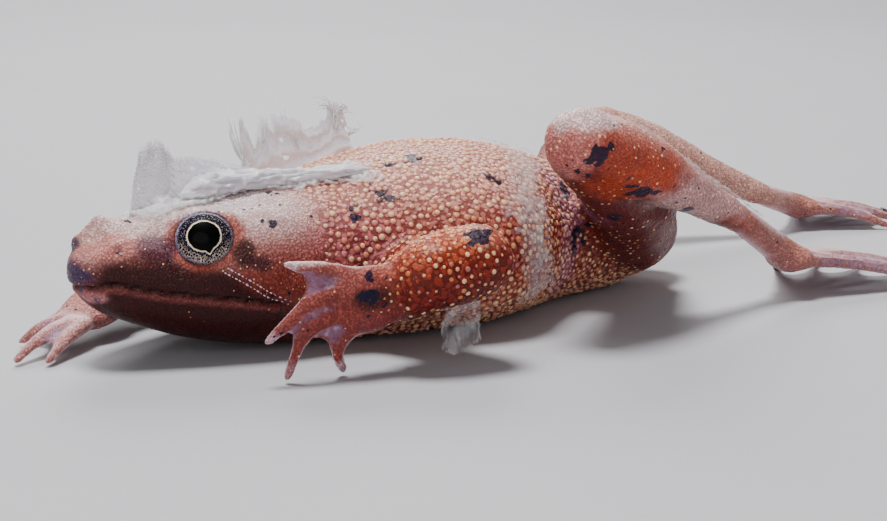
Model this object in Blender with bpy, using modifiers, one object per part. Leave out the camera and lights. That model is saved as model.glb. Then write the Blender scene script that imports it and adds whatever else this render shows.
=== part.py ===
"""African dwarf frog at life size, resting on the floor with its moult coming off.

The snout points along -X, the frog's left side along -Y, and the floor is at Z = 0.
Sizes are in metres. Every place is first given in the frog's own frame, which starts
at the tip of the snout, and is then moved so that the origin lies under the middle.
"""

import math

import bmesh
import bpy
from mathutils import Matrix, Vector

MM = 0.001

# Driving dimensions
GAP = 0.3 * MM
EYE_GAP = 0.2 * MM
NECK_X = 10.4 * MM
WEB_THICKNESS = 0.5 * MM
FILM_THICKNESS = 0.5 * MM
ORIGIN_FROM_SNOUT = Vector((31.514, -0.496, 0.0)) * MM
CUTTER_SIDE = 40 * MM
MERGE = 0.003 * MM
CAP_MERGE = 0.001 * MM
SHARP_ANGLE = math.radians(50)

BODY_SIDES = 36
LIMB_SIDES = 16
DIGIT_SIDES = 8
SPLINE_STEP = 0.01
DOME_ANGLES = (35, 62, 84)
DIGIT_DOME_ANGLES = (45, 80)

# Body stations: distance behind the snout, half width, top, bottom and widest level, in mm.
# A bottom under the floor is flattened there, which makes the belly's rest.
BODY_STATIONS = (
    ("snout tip", 0.0, 0.0, 4.30, 4.30, 4.30),
    ("snout round", 0.12, 0.70, 4.95, 3.70, 4.25),
    ("lip front", 0.45, 1.20, 5.38, 3.05, 4.15),
    ("nostrils", 1.3, 1.85, 5.90, 2.35, 4.00),
    ("muzzle", 2.6, 2.55, 6.34, 1.75, 3.85),
    ("eyes", 4.9, 3.50, 6.74, 0.85, 3.65),
    ("cheeks", 7.2, 4.35, 7.06, 0.28, 3.50),
    ("jaw angle", 9.4, 4.85, 7.42, 0.0, 3.45),
    ("shoulders", 12.5, 5.75, 7.95, -0.3, 3.60),
    ("chest", 15.8, 7.15, 8.55, -0.5, 3.95),
    ("belly", 19.0, 7.95, 8.92, -0.5, 4.15),
    ("flank", 21.5, 7.20, 8.85, -0.5, 4.10),
    ("waist", 24.8, 5.20, 8.20, -0.4, 3.85),
    ("loin", 28.0, 4.35, 7.10, -0.2, 3.50),
    ("hips", 31.5, 3.90, 5.95, 0.1, 3.20),
    ("rump", 34.8, 2.70, 4.95, 1.0, 3.00),
    ("vent round", 36.5, 1.30, 4.05, 1.95, 2.98),
    ("vent", 37.0, 0.0, 2.95, 2.95, 2.95),
)
HEAD_POWER = 2.35
TRUNK_POWER = 2.1
POWER_CHANGE = (8 * MM, 16 * MM)

# Where the body's outline is drawn, in mm: near the snout, down the head, near the vent,
# and for the clearance that the limbs are cut back from.
SNOUT_PLACES = (0.05, 0.2, 0.45, 0.85, 1.3, 1.9, 2.6)
HEAD_FROM, HEAD_RINGS = 3.3 * MM, 11
TRUNK_TO, TRUNK_RINGS = 33 * MM, 21
VENT_PLACES = (34.2, 35.3, 36.1, 36.6, 36.9)
CLEARANCE_FROM, CLEARANCE_TO, CLEARANCE_RINGS = 7 * MM, 34 * MM, 24
CLEARANCE_VENT_PLACES = (35.2, 36.2, 36.8)

# The line of the mouth, from the front of the lips back to its angle, in mm (x, z).
MOUTH_LINE = ((-0.2, 3.45), (0.45, 3.82), (1.3, 3.96), (2.7, 3.58), (5.2, 3.18), (8.4, 2.62))
MOUTH_STEPS = 14
JAW_BACK = ((8.9, 1.9), (9.05, 0.2))
JAW_LIFT_BACK = 0.3
JAW_BLOCK_FRONT = -3 * MM
JAW_BLOCK_BOTTOM = -2 * MM
JAW_BLOCK_HALF_WIDTH = 9 * MM

# Eye: centre, the way it looks and its half sizes (forward, upward, outward), left side.
EYE_CENTRE = Vector((5.31, -2.4, 5.61)) * MM
EYE_AXIS = Vector((-0.46, -0.81, 0.36)).normalized()
EYE_SIZE = Vector((1.38, 1.27, 1.05)) * MM
BROW_SIZE = Vector((1.92, 1.70, 1.70)) * MM
BROW_SET_BACK = 0.5 * MM
LID_LEVEL = 0.2 * MM
LID_FLARE = 1.25
LID_DEPTH = 2.2 * MM

NOSTRIL = Vector((1.45, -1.55, 5.22)) * MM
NOSTRIL_WAY = Vector((-0.35, -0.75, 0.6)).normalized()
NOSTRIL_RIM_SIZE = Vector((0.55, 0.5, 0.42)) * MM
NOSTRIL_SIZE = Vector((0.3, 0.13, 0.3)) * MM

# Joints of the limbs, in mm in the frog's frame.
LEFT_ARM = {
    "shoulder": Vector((13.6, -5.0, 3.1)) * MM,
    "elbow": Vector((14.68, -10.4, 4.82)) * MM,
    "forearm": Vector((12.5, -9.95, 4.42)) * MM,
    "wrist": Vector((10.75, -9.2, 3.55)) * MM,
    "knuckles": Vector((8.6, -8.9, 3.35)) * MM,
    "palm_way": Vector((0.15, 1.0, 0.1)),
}
RIGHT_ARM = {
    "shoulder": Vector((13.0, 4.8, 3.4)) * MM,
    "elbow": Vector((8.6, 8.5, 3.3)) * MM,
    "forearm": Vector((6.6, 7.4, 2.75)) * MM,
    "wrist": Vector((4.5, 5.9, 1.85)) * MM,
    "knuckles": Vector((2.3, 4.3, 1.2)) * MM,
    "palm_way": Vector((0.2, 0.1, 1.0)),
}
LEFT_LEG = {
    "hip": Vector((31.3, -2.9, 3.6)) * MM,
    "thigh": Vector((26.6, -7.3, 6.9)) * MM,
    "knee": Vector((20.8, -10.3, 9.6)) * MM,
    "calf": Vector((24.6, -10.2, 8.35)) * MM,
    "shin": Vector((28.9, -9.8, 6.5)) * MM,
    "ankle": Vector((33.0, -9.4, 4.7)) * MM,
    "toe_root": Vector((37.4, -9.0, 2.15)) * MM,
}
RIGHT_LEG = {
    "hip": Vector((31.3, 2.9, 3.6)) * MM,
    "thigh": Vector((35.3, 6.0, 5.9)) * MM,
    "knee": Vector((39.8, 9.0, 7.2)) * MM,
    "calf": Vector((43.1, 8.0, 6.2)) * MM,
    "shin": Vector((47.2, 6.5, 4.4)) * MM,
    "ankle": Vector((51.0, 4.9, 2.75)) * MM,
    "toe_root": Vector((55.3, 5.4, 1.5)) * MM,
}
UPPER_ARM_RADII = [1.75 * MM, 1.65 * MM, 1.6 * MM]
FOREARM_RADII = [1.78 * MM, 1.68 * MM, 1.42 * MM, 1.3 * MM]
FOREARM_PAST_WRIST = 0.4
PALM_SIZE = Vector((0.9, 1.62, 0.8)) * MM
THIGH_RADII = [2.6 * MM, 2.35 * MM, 1.75 * MM]
SHANK_RADII = [1.85 * MM, 1.68 * MM, 1.12 * MM, 0.78 * MM, 0.76 * MM]
SHANK_PAST_ANKLE = 0.3
TARSUS_RADII = [0.76 * MM, 0.8 * MM, 0.9 * MM]

# Root, middle and tip of each finger, first to fourth, in mm.
LEFT_FINGERS = (
    ((8.9, -8.9, 4.6), (7.45, -8.5, 5.05), (6.21, -7.8, 5.2)),
    ((8.3, -8.9, 3.95), (6.6, -8.6, 3.4), (5.06, -8.1, 1.99)),
    ((8.4, -8.9, 3.1), (6.65, -8.7, 2.35), (6.08, -8.0, 0.26)),
    ((8.9, -8.9, 2.3), (8.2, -8.7, 1.35), (8.75, -8.4, 0.26)),
)
RIGHT_FINGERS = (
    ((1.9, 3.2, 1.15), (0.5, 2.1, 0.85), (-1.0, 0.9, 0.26)),
    ((1.5, 3.7, 1.2), (-0.4, 2.9, 0.95), (-2.1, 1.9, 0.26)),
    ((1.6, 4.5, 1.2), (0.5, 5.0, 0.9), (-0.4, 5.3, 0.26)),
    ((2.0, 5.1, 1.15), (1.7, 6.3, 0.85), (1.5, 7.5, 0.26)),
)
FINGER_RADII = [0.46 * MM, 0.36 * MM, 0.28 * MM]
FINGER_WEB_REACH = (0.94, 0.72, 0.74)
FINGER_WEB_SCALLOP = 0.4

# Toe tips, first (inner) toe to fifth, in mm.
LEFT_TOES = ((42.6, -3.7), (45.6, -4.2), (48.0, -5.9), (48.6, -8.8), (45.9, -12.3))
RIGHT_TOES = ((59.9, 1.5), (62.7, 2.9), (64.5, 5.6), (64.4, 8.8), (61.6, 11.3))
TOE_RADII = [0.52 * MM, 0.42 * MM, 0.3 * MM]
TOE_TIP_LEVEL = 0.26 * MM
TOE_ARCH = 0.35 * MM
TOE_ROOT_SPREAD = 0.16
TOE_ROOT_REACH = 0.9 * MM
TOE_PAD_SIZE = Vector((1.5, 1.25, 0.75)) * MM
TOE_WEB_REACH = 0.93
TOE_WEB_SCALLOP = 0.22
CLAWED_TOES = 3
CLAW_LENGTH = 0.9 * MM
CLAW_RADIUS = 0.26 * MM
CLAW_TAPER = 0.2

# Moult: a film that stands on the head, a crest along the back and a rag at the elbow.
# Each film is a list of (foot, top) pairs in mm. A foot lies GAP off the skin.
HEAD_FILM = (
    ((3.5, 1.5, None), (4.1, 1.5, 9.3)),
    ((4.3, 1.5, None), (4.7, 1.6, 9.8)),
    ((5.2, 1.5, None), (5.4, 1.65, 9.75)),
    ((6.1, 1.5, None), (6.0, 1.6, 8.9)),
)
BACK_FILM = (
    ((9.5, 1.2, None), (9.6, 1.5, 8.6)),
    ((10.0, 1.6, None), (9.8, 2.0, 10.6)),
    ((10.6, 1.9, None), (10.7, 2.3, 9.2)),
    ((11.6, 2.1, None), (11.3, 2.7, 10.4)),
    ((13.0, 2.3, None), (12.9, 2.9, 10.4)),
    ((14.6, 2.4, None), (14.7, 3.0, 9.7)),
    ((15.8, 2.5, None), (16.0, 3.3, 10.9)),
    ((16.8, 2.6, None), (16.9, 3.1, 9.9)),
)
ELBOW_FILM = (
    ((13.4, -9.9, 2.62), (13.0, -9.6, 0.8)),
    ((14.2, -9.95, 2.65), (14.1, -9.7, 0.45)),
    ((15.1, -9.95, 2.75), (15.3, -9.8, 0.9)),
)
FILM_LIFT = 1.4
FOLD_LINE = ((6.2, 0.3), (7.2, 0.2), (8.7, -0.3), (10.6, -1.0), (12.4, -1.95), (14.2, -2.7))
FOLD_RADII = [0.6 * MM, 0.74 * MM, 0.58 * MM, 0.48 * MM, 0.4 * MM, 0.26 * MM]


def clear_scene():
    """Removes what the scene starts with."""
    for thing in list(bpy.data.objects):
        bpy.data.objects.remove(thing, do_unlink=True)


def new_material(name, colour, roughness):
    """A Principled material of one colour."""
    material = bpy.data.materials.new(name)
    material.use_nodes = True
    shader = material.node_tree.nodes["Principled BSDF"]
    shader.inputs["Base Color"].default_value = (*colour, 1.0)
    shader.inputs["Roughness"].default_value = roughness
    return material


def mm_vector(numbers):
    """A place written in millimetres, as a vector in metres."""
    return Vector(numbers) * MM


def span(start, stop, count):
    """Evenly spaced places from start to stop."""
    return [start + (stop - start) * k / (count - 1) for k in range(count)]


def mirrored(point, side):
    """The point for the left side (1), or its mirror for the right (-1)."""
    return Vector((point.x, point.y * side, point.z))


def smooth_value(keys, values, x):
    """A monotone cubic through keys and values, so that an outline never overshoots."""
    last = len(keys) - 1
    if x <= keys[0]:
        return values[0]
    if x >= keys[last]:
        return values[last]
    steps = [keys[i + 1] - keys[i] for i in range(last)]
    slopes = [(values[i + 1] - values[i]) / steps[i] for i in range(last)]
    tangents = [slopes[0]]
    for i in range(1, last):
        before, after = slopes[i - 1], slopes[i]
        turns = before * after <= 0
        tangents.append(0.0 if turns else 2 * before * after / (before + after))
    tangents.append(slopes[-1])
    i = max(k for k in range(last) if keys[k] <= x)
    t = (x - keys[i]) / steps[i]
    return (
        (2 * t**3 - 3 * t**2 + 1) * values[i]
        + (t**3 - 2 * t**2 + t) * steps[i] * tangents[i]
        + (3 * t**2 - 2 * t**3) * values[i + 1]
        + (t**3 - t**2) * steps[i] * tangents[i + 1]
    )


def spline(points, t):
    """A point at share t of a smooth curve through the given points."""
    spans = len(points) - 1
    place = min(max(t, 0.0), 1.0) * spans
    i = min(int(place), spans - 1)
    u = place - i
    p1, p2 = points[i], points[i + 1]
    p0 = points[i - 1] if i > 0 else p1 * 2 - p2
    p3 = points[i + 2] if i + 2 <= spans else p2 * 2 - p1
    return 0.5 * (
        p1 * 2
        + (p2 - p0) * u
        + (p0 * 2 - p1 * 5 + p2 * 4 - p3) * u * u
        + (p1 * 3 - p0 - p2 * 3 + p3) * u**3
    )


def new_object(name, mesh):
    """A mesh object in the scene."""
    made = bpy.data.objects.new(name, mesh)
    bpy.context.scene.collection.objects.link(made)
    return made


def object_from(shape, name):
    """Turns a bmesh into an object whose faces point out."""
    bmesh.ops.recalc_face_normals(shape, faces=shape.faces)
    mesh = bpy.data.meshes.new(name)
    shape.to_mesh(mesh)
    shape.free()
    return new_object(name, mesh)


def turned_to(way, up=Vector((0, 0, 1))):
    """A rotation whose Z axis is way and whose Y axis is as near to up as can be."""
    z = way.normalized()
    x = up.cross(z).normalized()
    return Matrix((x, z.cross(x), z)).transposed().to_4x4()


def ellipsoid(name, centre, axis, size, segments=20, rings=14, up=Vector((0, 0, 1))):
    """An ellipsoid with half sizes across, upward and along its axis."""
    shape = bmesh.new()
    place = Matrix.Translation(centre) @ turned_to(axis, up) @ Matrix.Diagonal((*size, 1.0))
    bmesh.ops.create_uvsphere(
        shape, u_segments=segments, v_segments=rings, radius=1.0, matrix=place
    )
    return object_from(shape, name)


def socket_block(name, centre, axis, size, flare, depth):
    """The room of an eye: half an ellipsoid inward, and a cone that flares outward."""
    shape = bmesh.new()
    bmesh.ops.create_uvsphere(shape, u_segments=28, v_segments=16, radius=1.0)
    for vertex in shape.verts:
        reach = vertex.co.xy.length
        if vertex.co.z > 0.01:
            if reach > 0.01:
                vertex.co.xy *= (1 + (flare - 1) * vertex.co.z) / reach
            vertex.co.z *= depth / size.z
    place = Matrix.Translation(centre) @ turned_to(axis) @ Matrix.Diagonal((*size, 1.0))
    shape.transform(place)
    return object_from(shape, name)


def half_space(name, point, outward):
    """A large block whose near face passes through point. It covers the outward side."""
    shape = bmesh.new()
    lift = Matrix.Translation((0, 0, CUTTER_SIDE / 2))
    turn = outward.to_track_quat("Z", "Y").to_matrix().to_4x4()
    bmesh.ops.create_cube(
        shape, size=CUTTER_SIDE, matrix=Matrix.Translation(point) @ turn @ lift
    )
    return object_from(shape, name)


def under_floor(near):
    """The block of everything under the floor near a place."""
    return half_space("under floor", Vector((near.x, near.y, 0)), Vector((0, 0, -1)))


def mesh_from_curve(curve_object):
    """Replaces a curve object by its mesh, with its caps welded on."""
    graph = bpy.context.evaluated_depsgraph_get()
    mesh = bpy.data.meshes.new_from_object(curve_object.evaluated_get(graph))
    shape = bmesh.new()
    shape.from_mesh(mesh)
    bmesh.ops.remove_doubles(shape, verts=shape.verts, dist=CAP_MERGE)
    shape.transform(curve_object.matrix_world)
    name = curve_object.name
    bpy.data.objects.remove(curve_object, do_unlink=True)
    return object_from(shape, name)


def tube(name, points, radii, sides=LIMB_SIDES, rings=9):
    """A tapered limb along a smooth line, with rounded ends."""
    keys = span(0.0, 1.0, len(radii))
    line = []
    for share in span(0.0, 1.0, rings):
        line.append((spline(points, share), smooth_value(keys, radii, share)))
    first_way = (spline(points, SPLINE_STEP) - points[0]).normalized()
    last_way = (points[-1] - spline(points, 1 - SPLINE_STEP)).normalized()
    start, start_radius = line[0]
    end, end_radius = line[-1]
    for angle in DOME_ANGLES if sides > DIGIT_SIDES else DIGIT_DOME_ANGLES:
        reach, share = math.sin(math.radians(angle)), math.cos(math.radians(angle))
        line.insert(0, (start - first_way * start_radius * reach, start_radius * share))
        line.append((end + last_way * end_radius * reach, end_radius * share))
    curve = bpy.data.curves.new(name, "CURVE")
    curve.dimensions = "3D"
    curve.bevel_depth = MM
    curve.bevel_resolution = (sides - 4) // 2
    curve.use_fill_caps = True
    path = curve.splines.new("POLY")
    path.points.add(len(line) - 1)
    for target, (place, radius) in zip(path.points, line):
        target.co = (*place, 1.0)
        target.radius = radius / MM
    return mesh_from_curve(new_object(name, curve))


def outline_block(name, outline, half_width):
    """A block with the given (x, z) outline, as wide as the head on both sides of Y = 0."""
    curve = bpy.data.curves.new(name, "CURVE")
    curve.dimensions = "2D"
    curve.fill_mode = "BOTH"
    curve.extrude = half_width
    path = curve.splines.new("POLY")
    path.points.add(len(outline) - 1)
    for target, (x, z) in zip(path.points, outline):
        target.co = (x, z, 0.0, 1.0)
    path.use_cyclic_u = True
    made = new_object(name, curve)
    made.rotation_euler = (math.radians(90), 0, 0)
    bpy.context.view_layer.update()
    return mesh_from_curve(made)


def sheet(name, surface, columns, rows, thickness):
    """A thin sheet over surface(u, v), split into triangles alike on both faces."""
    shape = bmesh.new()
    bmesh.ops.create_grid(shape, x_segments=columns, y_segments=rows, size=1.0)
    for vertex in shape.verts:
        vertex.co = surface((vertex.co.x + 1) / 2, (vertex.co.y + 1) / 2)
    bmesh.ops.triangulate(shape, faces=shape.faces)
    made = object_from(shape, name)
    modifier = made.modifiers.new("Thickness", "SOLIDIFY")
    modifier.thickness = thickness
    modifier.offset = 0.0
    modifier.use_rim = True
    apply_modifiers(made)
    return made


def loft(name, rings, start_pole=None, end_pole=None):
    """A closed skin over rings of equal count, each end closed by a pole or a flat face."""
    shape = bmesh.new()
    loops = [[shape.verts.new(point) for point in ring] for ring in rings]
    count = len(rings[0])
    for before, after in zip(loops, loops[1:]):
        for k in range(count):
            j = (k + 1) % count
            shape.faces.new((before[k], before[j], after[j], after[k]))
    for pole, ring in ((start_pole, loops[0]), (end_pole, loops[-1])):
        if pole is None:
            shape.faces.new(ring)
            continue
        tip = shape.verts.new(pole)
        for k in range(count):
            shape.faces.new((ring[k], ring[(k + 1) % count], tip))
    return object_from(shape, name)


def apply_modifiers(thing):
    """Replaces the mesh with what its modifiers make of it."""
    graph = bpy.context.evaluated_depsgraph_get()
    mesh = bpy.data.meshes.new_from_object(thing.evaluated_get(graph))
    thing.modifiers.clear()
    thing.data = mesh


def combine(thing, others, operation):
    """Applies one Boolean of thing with all the others, then removes them."""
    group = bpy.data.collections.new(thing.name + " pieces")
    bpy.context.scene.collection.children.link(group)
    for other in others:
        for home in list(other.users_collection):
            home.objects.unlink(other)
        group.objects.link(other)
    modifier = thing.modifiers.new(operation, "BOOLEAN")
    modifier.operation = operation
    modifier.operand_type = "COLLECTION"
    modifier.collection = group
    modifier.solver = "MANIFOLD"
    apply_modifiers(thing)
    for other in others:
        bpy.data.objects.remove(other, do_unlink=True)
    bpy.data.collections.remove(group)
    return thing


def cut(thing, *cutters):
    """Cuts thing by each cutter in turn."""
    for cutter in cutters:
        combine(thing, [cutter], "DIFFERENCE")
    return thing


def keep_largest(thing):
    """Keeps only the largest closed surface of an object."""
    shape = bmesh.new()
    shape.from_mesh(thing.data)
    bmesh.ops.remove_doubles(shape, verts=shape.verts, dist=MERGE)
    left = set(shape.verts)
    islands = []
    while left:
        seed = left.pop()
        island, edge = {seed}, [seed]
        while edge:
            for link in edge.pop().link_edges:
                for vertex in link.verts:
                    if vertex in left:
                        left.remove(vertex)
                        island.add(vertex)
                        edge.append(vertex)
        islands.append(island)
    largest = max(islands, key=len)
    loose = [v for island in islands if island is not largest for v in island]
    bmesh.ops.delete(shape, geom=loose, context="VERTS")
    shape.to_mesh(thing.data)
    shape.free()
    return thing


def body_shape(x):
    """Half width, top, bottom, widest level and roundness of the body at x."""
    keys = [station[1] * MM for station in BODY_STATIONS]
    columns = [[station[c] * MM for station in BODY_STATIONS] for c in range(2, 6)]
    half_width, top, bottom, level = (smooth_value(keys, column, x) for column in columns)
    start, stop = POWER_CHANGE
    share = min(1.0, max(0.0, (x - start) / (stop - start)))
    power = HEAD_POWER + (TRUNK_POWER - HEAD_POWER) * share
    return half_width, top, bottom, level, power


def body_ring(x, grow=0.0):
    """The body's outline at x as a ring of points, larger all round by grow."""
    half_width, top, bottom, level, power = body_shape(x)
    ring = []
    for k in range(BODY_SIDES):
        angle = 2 * math.pi * (k + 0.5) / BODY_SIDES
        across, along = math.cos(angle), math.sin(angle)
        height = top - level if along > 0 else level - bottom
        y = math.copysign(abs(across) ** (2 / power), across) * (half_width + grow)
        z = level + math.copysign(abs(along) ** (2 / power), along) * (height + grow)
        ring.append(Vector((x, y, max(z, -grow))))
    return ring


def back_height(x, y):
    """How high the top of the body is over a point of the floor."""
    half_width, top, _, level, power = body_shape(x)
    share = min(abs(y) / half_width, 1.0)
    return level + (top - level) * (1 - share**power) ** (1 / power)


def body_clearance():
    """The body grown by the gap, which limbs are cut back from."""
    places = span(CLEARANCE_FROM, CLEARANCE_TO, CLEARANCE_RINGS)
    places += [x * MM for x in CLEARANCE_VENT_PLACES]
    vent = Vector((BODY_STATIONS[-1][1] * MM + GAP, 0, BODY_STATIONS[-1][3] * MM))
    return loft("body clearance", [body_ring(x, GAP) for x in places], end_pole=vent)


def jaw_block(name, lift):
    """The block under the line of the mouth, raised by lift, that parts jaw from head."""
    line = [Vector((x, 0, z)) * MM for x, z in MOUTH_LINE]
    outline = []
    for share in span(0.0, 1.0, MOUTH_STEPS):
        point = spline(line, share)
        outline.append((point.x + lift * JAW_LIFT_BACK, point.z + lift))
    outline += [(x * MM + lift, z * MM) for x, z in JAW_BACK]
    back = outline[-1][0]
    outline.append((back, JAW_BLOCK_BOTTOM))
    outline.append((JAW_BLOCK_FRONT, JAW_BLOCK_BOTTOM))
    outline.append((JAW_BLOCK_FRONT, outline[0][1]))
    return outline_block(name, outline, JAW_BLOCK_HALF_WIDTH)


def head_blank(name):
    """The whole head from the snout to the neck, before the jaw is parted."""
    tip = Vector((0, 0, BODY_STATIONS[0][3] * MM))
    places = [x * MM for x in SNOUT_PLACES]
    places += span(HEAD_FROM, NECK_X - GAP / 2, HEAD_RINGS)
    return loft(name, [body_ring(x) for x in places], start_pole=tip)


def make_head():
    """The head with its brows, eye sockets and nostrils, cut along the mouth."""
    head = head_blank("head")
    bumps = []
    cutters = [jaw_block("jaw block", GAP / 2)]
    for side in (1, -1):
        axis = mirrored(EYE_AXIS, side)
        centre = mirrored(EYE_CENTRE, side)
        brow = ellipsoid("brow", centre - axis * BROW_SET_BACK, axis, BROW_SIZE, 24, 14)
        bumps.append(cut(brow, half_space("lid", centre + axis * LID_LEVEL, axis)))
        nostril = mirrored(NOSTRIL, side)
        outward = mirrored(NOSTRIL_WAY, side)
        bumps.append(ellipsoid("nostril rim", nostril, outward, NOSTRIL_RIM_SIZE, 12, 8))
        room = EYE_SIZE + Vector((EYE_GAP, EYE_GAP, EYE_GAP))
        cutters.append(socket_block("socket", centre, axis, room, LID_FLARE, LID_DEPTH))
        pit = nostril + outward * NOSTRIL_RIM_SIZE.z
        cutters.append(ellipsoid("nostril", pit, outward, NOSTRIL_SIZE, 10, 6))
    combine(head, bumps, "UNION")
    combine(head, cutters, "DIFFERENCE")
    return keep_largest(head)


def make_lower_jaw():
    """The lower jaw and throat, from the chin to the angle of the mouth."""
    jaw = head_blank("lower_jaw")
    combine(jaw, [jaw_block("jaw block", -GAP / 2)], "INTERSECT")
    return keep_largest(jaw)


def make_eye(name, side):
    """One eyeball."""
    axis = mirrored(EYE_AXIS, side)
    return ellipsoid(name, mirrored(EYE_CENTRE, side), axis, EYE_SIZE, 20, 12)


def make_torso():
    """The trunk from the neck to the vent, flat under the belly."""
    places = span(NECK_X + GAP / 2, TRUNK_TO, TRUNK_RINGS)
    places += [x * MM for x in VENT_PLACES]
    vent = Vector((BODY_STATIONS[-1][1] * MM, 0, BODY_STATIONS[-1][3] * MM))
    return loft("torso", [body_ring(x) for x in places], end_pole=vent)


def fold_block(before, joint, after, side):
    """The block beyond the plane that halves the fold at a joint, for the limb before
    it (side 1) or after it (side -1)."""
    way = (joint - before).normalized() + (after - joint).normalized()
    way = way.normalized() * side
    return half_space("fold", joint - way * GAP / 2, way)


def make_arm(side_name, arm):
    """The upper arm and forearm, parted at the folded elbow and at the wrist."""
    shoulder, elbow, wrist = arm["shoulder"], arm["elbow"], arm["wrist"]
    middle = (shoulder + elbow) / 2
    upper = tube(side_name + "_upper_arm", [shoulder, middle, elbow], UPPER_ARM_RADII)
    cut(upper, fold_block(shoulder, elbow, arm["forearm"], 1), body_clearance())
    ahead = wrist.lerp(arm["knuckles"], FOREARM_PAST_WRIST)
    fore = tube(side_name + "_forearm", [elbow, arm["forearm"], wrist, ahead], FOREARM_RADII)
    wrist_way = (arm["knuckles"] - arm["forearm"]).normalized()
    cut(
        fore,
        fold_block(shoulder, elbow, arm["forearm"], -1),
        half_space("wrist", wrist - wrist_way * GAP / 2, wrist_way),
    )
    return [keep_largest(upper), keep_largest(fore)]


def web(first, second, reach, scallop):
    """A thin web between two digits, with a hollowed free edge."""

    def surface(u, v):
        end = reach * (1 - scallop * 4 * v * (1 - v))
        return spline(first, u * end).lerp(spline(second, u * end), v)

    return sheet("web", surface, 6, 4, WEB_THICKNESS)


def make_hand(name, arm, fingers):
    """A hand: palm, four fingers and the webs between them."""
    wrist, knuckles = arm["wrist"], arm["knuckles"]
    wrist_way = (knuckles - arm["forearm"]).normalized()
    length = (knuckles - wrist).length / 2
    size = Vector((PALM_SIZE.y, PALM_SIZE.z, length + PALM_SIZE.x))
    palm = ellipsoid(
        name, (wrist + knuckles) / 2, knuckles - wrist, size, 16, 12, up=arm["palm_way"]
    )
    lines = [[mm_vector(point) for point in finger] for finger in fingers]
    pieces = [tube("finger", line, FINGER_RADII, sides=DIGIT_SIDES, rings=6) for line in lines]
    for k, reach in enumerate(FINGER_WEB_REACH):
        pieces.append(web(lines[k], lines[k + 1], reach, FINGER_WEB_SCALLOP))
    combine(palm, pieces, "UNION")
    cut(
        palm,
        half_space("wrist", wrist + wrist_way * GAP / 2, -wrist_way),
        under_floor(wrist),
    )
    return keep_largest(palm)


def make_leg(side_name, leg):
    """The thigh and shank, parted at the folded knee and at the ankle."""
    hip, knee, ankle = leg["hip"], leg["knee"], leg["ankle"]
    thigh = tube(side_name + "_thigh", [hip, leg["thigh"], knee], THIGH_RADII)
    cut(thigh, fold_block(leg["thigh"], knee, leg["calf"], 1), body_clearance())
    ahead = ankle.lerp(leg["toe_root"], SHANK_PAST_ANKLE)
    line = [knee, leg["calf"], leg["shin"], ankle, ahead]
    shank = tube(side_name + "_shank", line, SHANK_RADII, rings=11)
    cut(
        shank,
        fold_block(leg["thigh"], knee, leg["calf"], -1),
        half_space("ankle", ankle - ankle_way(leg) * GAP / 2, ankle_way(leg)),
    )
    return [keep_largest(thigh), keep_largest(shank)]


def ankle_way(leg):
    """The direction in which the leg passes its ankle."""
    before = (leg["ankle"] - leg["shin"]).normalized()
    after = (leg["toe_root"] - leg["ankle"]).normalized()
    return (before + after).normalized()


def claw(root, way):
    """A short claw at the end of a toe."""
    shape = bmesh.new()
    turn = way.to_track_quat("Z", "Y").to_matrix().to_4x4()
    place = Matrix.Translation(root) @ turn @ Matrix.Translation((0, 0, CLAW_LENGTH / 2))
    bmesh.ops.create_cone(
        shape,
        cap_ends=True,
        segments=6,
        radius1=CLAW_RADIUS,
        radius2=CLAW_RADIUS * CLAW_TAPER,
        depth=CLAW_LENGTH,
        matrix=place,
    )
    return object_from(shape, "claw")


def make_foot(name, leg, toes):
    """A foot: five long toes joined by full webs, with claws on the inner three."""
    ankle, toe_root = leg["ankle"], leg["toe_root"]
    way = ankle_way(leg)
    foot = tube(name, [ankle, ankle.lerp(toe_root, 0.5), toe_root], TARSUS_RADII, rings=5)
    along = (toe_root - ankle).normalized()
    across = along.cross(Vector((0, 0, 1))).normalized()
    pieces = [ellipsoid("pad", toe_root, Vector((0, 0, 1)), TOE_PAD_SIZE, 14, 8, up=along)]
    lines = []
    for x, y in toes:
        tip = Vector((x * MM, y * MM, TOE_TIP_LEVEL))
        side = (tip - toe_root).dot(across)
        shift = math.copysign(min(abs(side) * TOE_ROOT_SPREAD, TOE_ROOT_REACH), side)
        root = toe_root + across * shift
        middle = root.lerp(tip, 0.5) + Vector((0, 0, TOE_ARCH))
        lines.append([root, middle, tip])
    for k, line in enumerate(lines):
        pieces.append(tube("toe", line, TOE_RADII, sides=DIGIT_SIDES, rings=6))
        if k < CLAWED_TOES:
            flat_way = (line[2] - line[1]) * Vector((1, 1, 0))
            pieces.append(claw(line[2], flat_way.normalized()))
    for first, second in zip(lines, lines[1:]):
        pieces.append(web(first, second, TOE_WEB_REACH, TOE_WEB_SCALLOP))
    combine(foot, pieces, "UNION")
    cut(
        foot,
        half_space("ankle", ankle + way * GAP / 2, -way),
        under_floor(toe_root),
    )
    return keep_largest(foot)


def film(name, posts, columns, rows):
    """A film of moult between posts, each a foot on the skin and a free top."""
    feet, tops = [], []
    for (x, y, z), top in posts:
        level = back_height(x * MM, y * MM) + GAP * FILM_LIFT if z is None else z * MM
        feet.append(Vector((x * MM, y * MM, level)))
        tops.append(mm_vector(top))

    def surface(u, v):
        return spline(feet, u).lerp(spline(tops, u), v)

    return sheet(name, surface, columns, rows, FILM_THICKNESS)


def make_moult():
    """The moult that still hangs on the frog: a fold and a crest along the back, a film
    on the head and a rag at the elbow."""
    line = []
    for (x, y), radius in zip(FOLD_LINE, FOLD_RADII):
        level = back_height(x * MM, y * MM) + GAP * FILM_LIFT + radius
        line.append(Vector((x * MM, y * MM, level)))
    return [
        tube("moult_fold", line, FOLD_RADII, sides=10, rings=13),
        film("moult_crest", BACK_FILM, 22, 3),
        film("moult_head", HEAD_FILM, 8, 4),
        film("moult_elbow", ELBOW_FILM, 5, 4),
    ]


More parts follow.
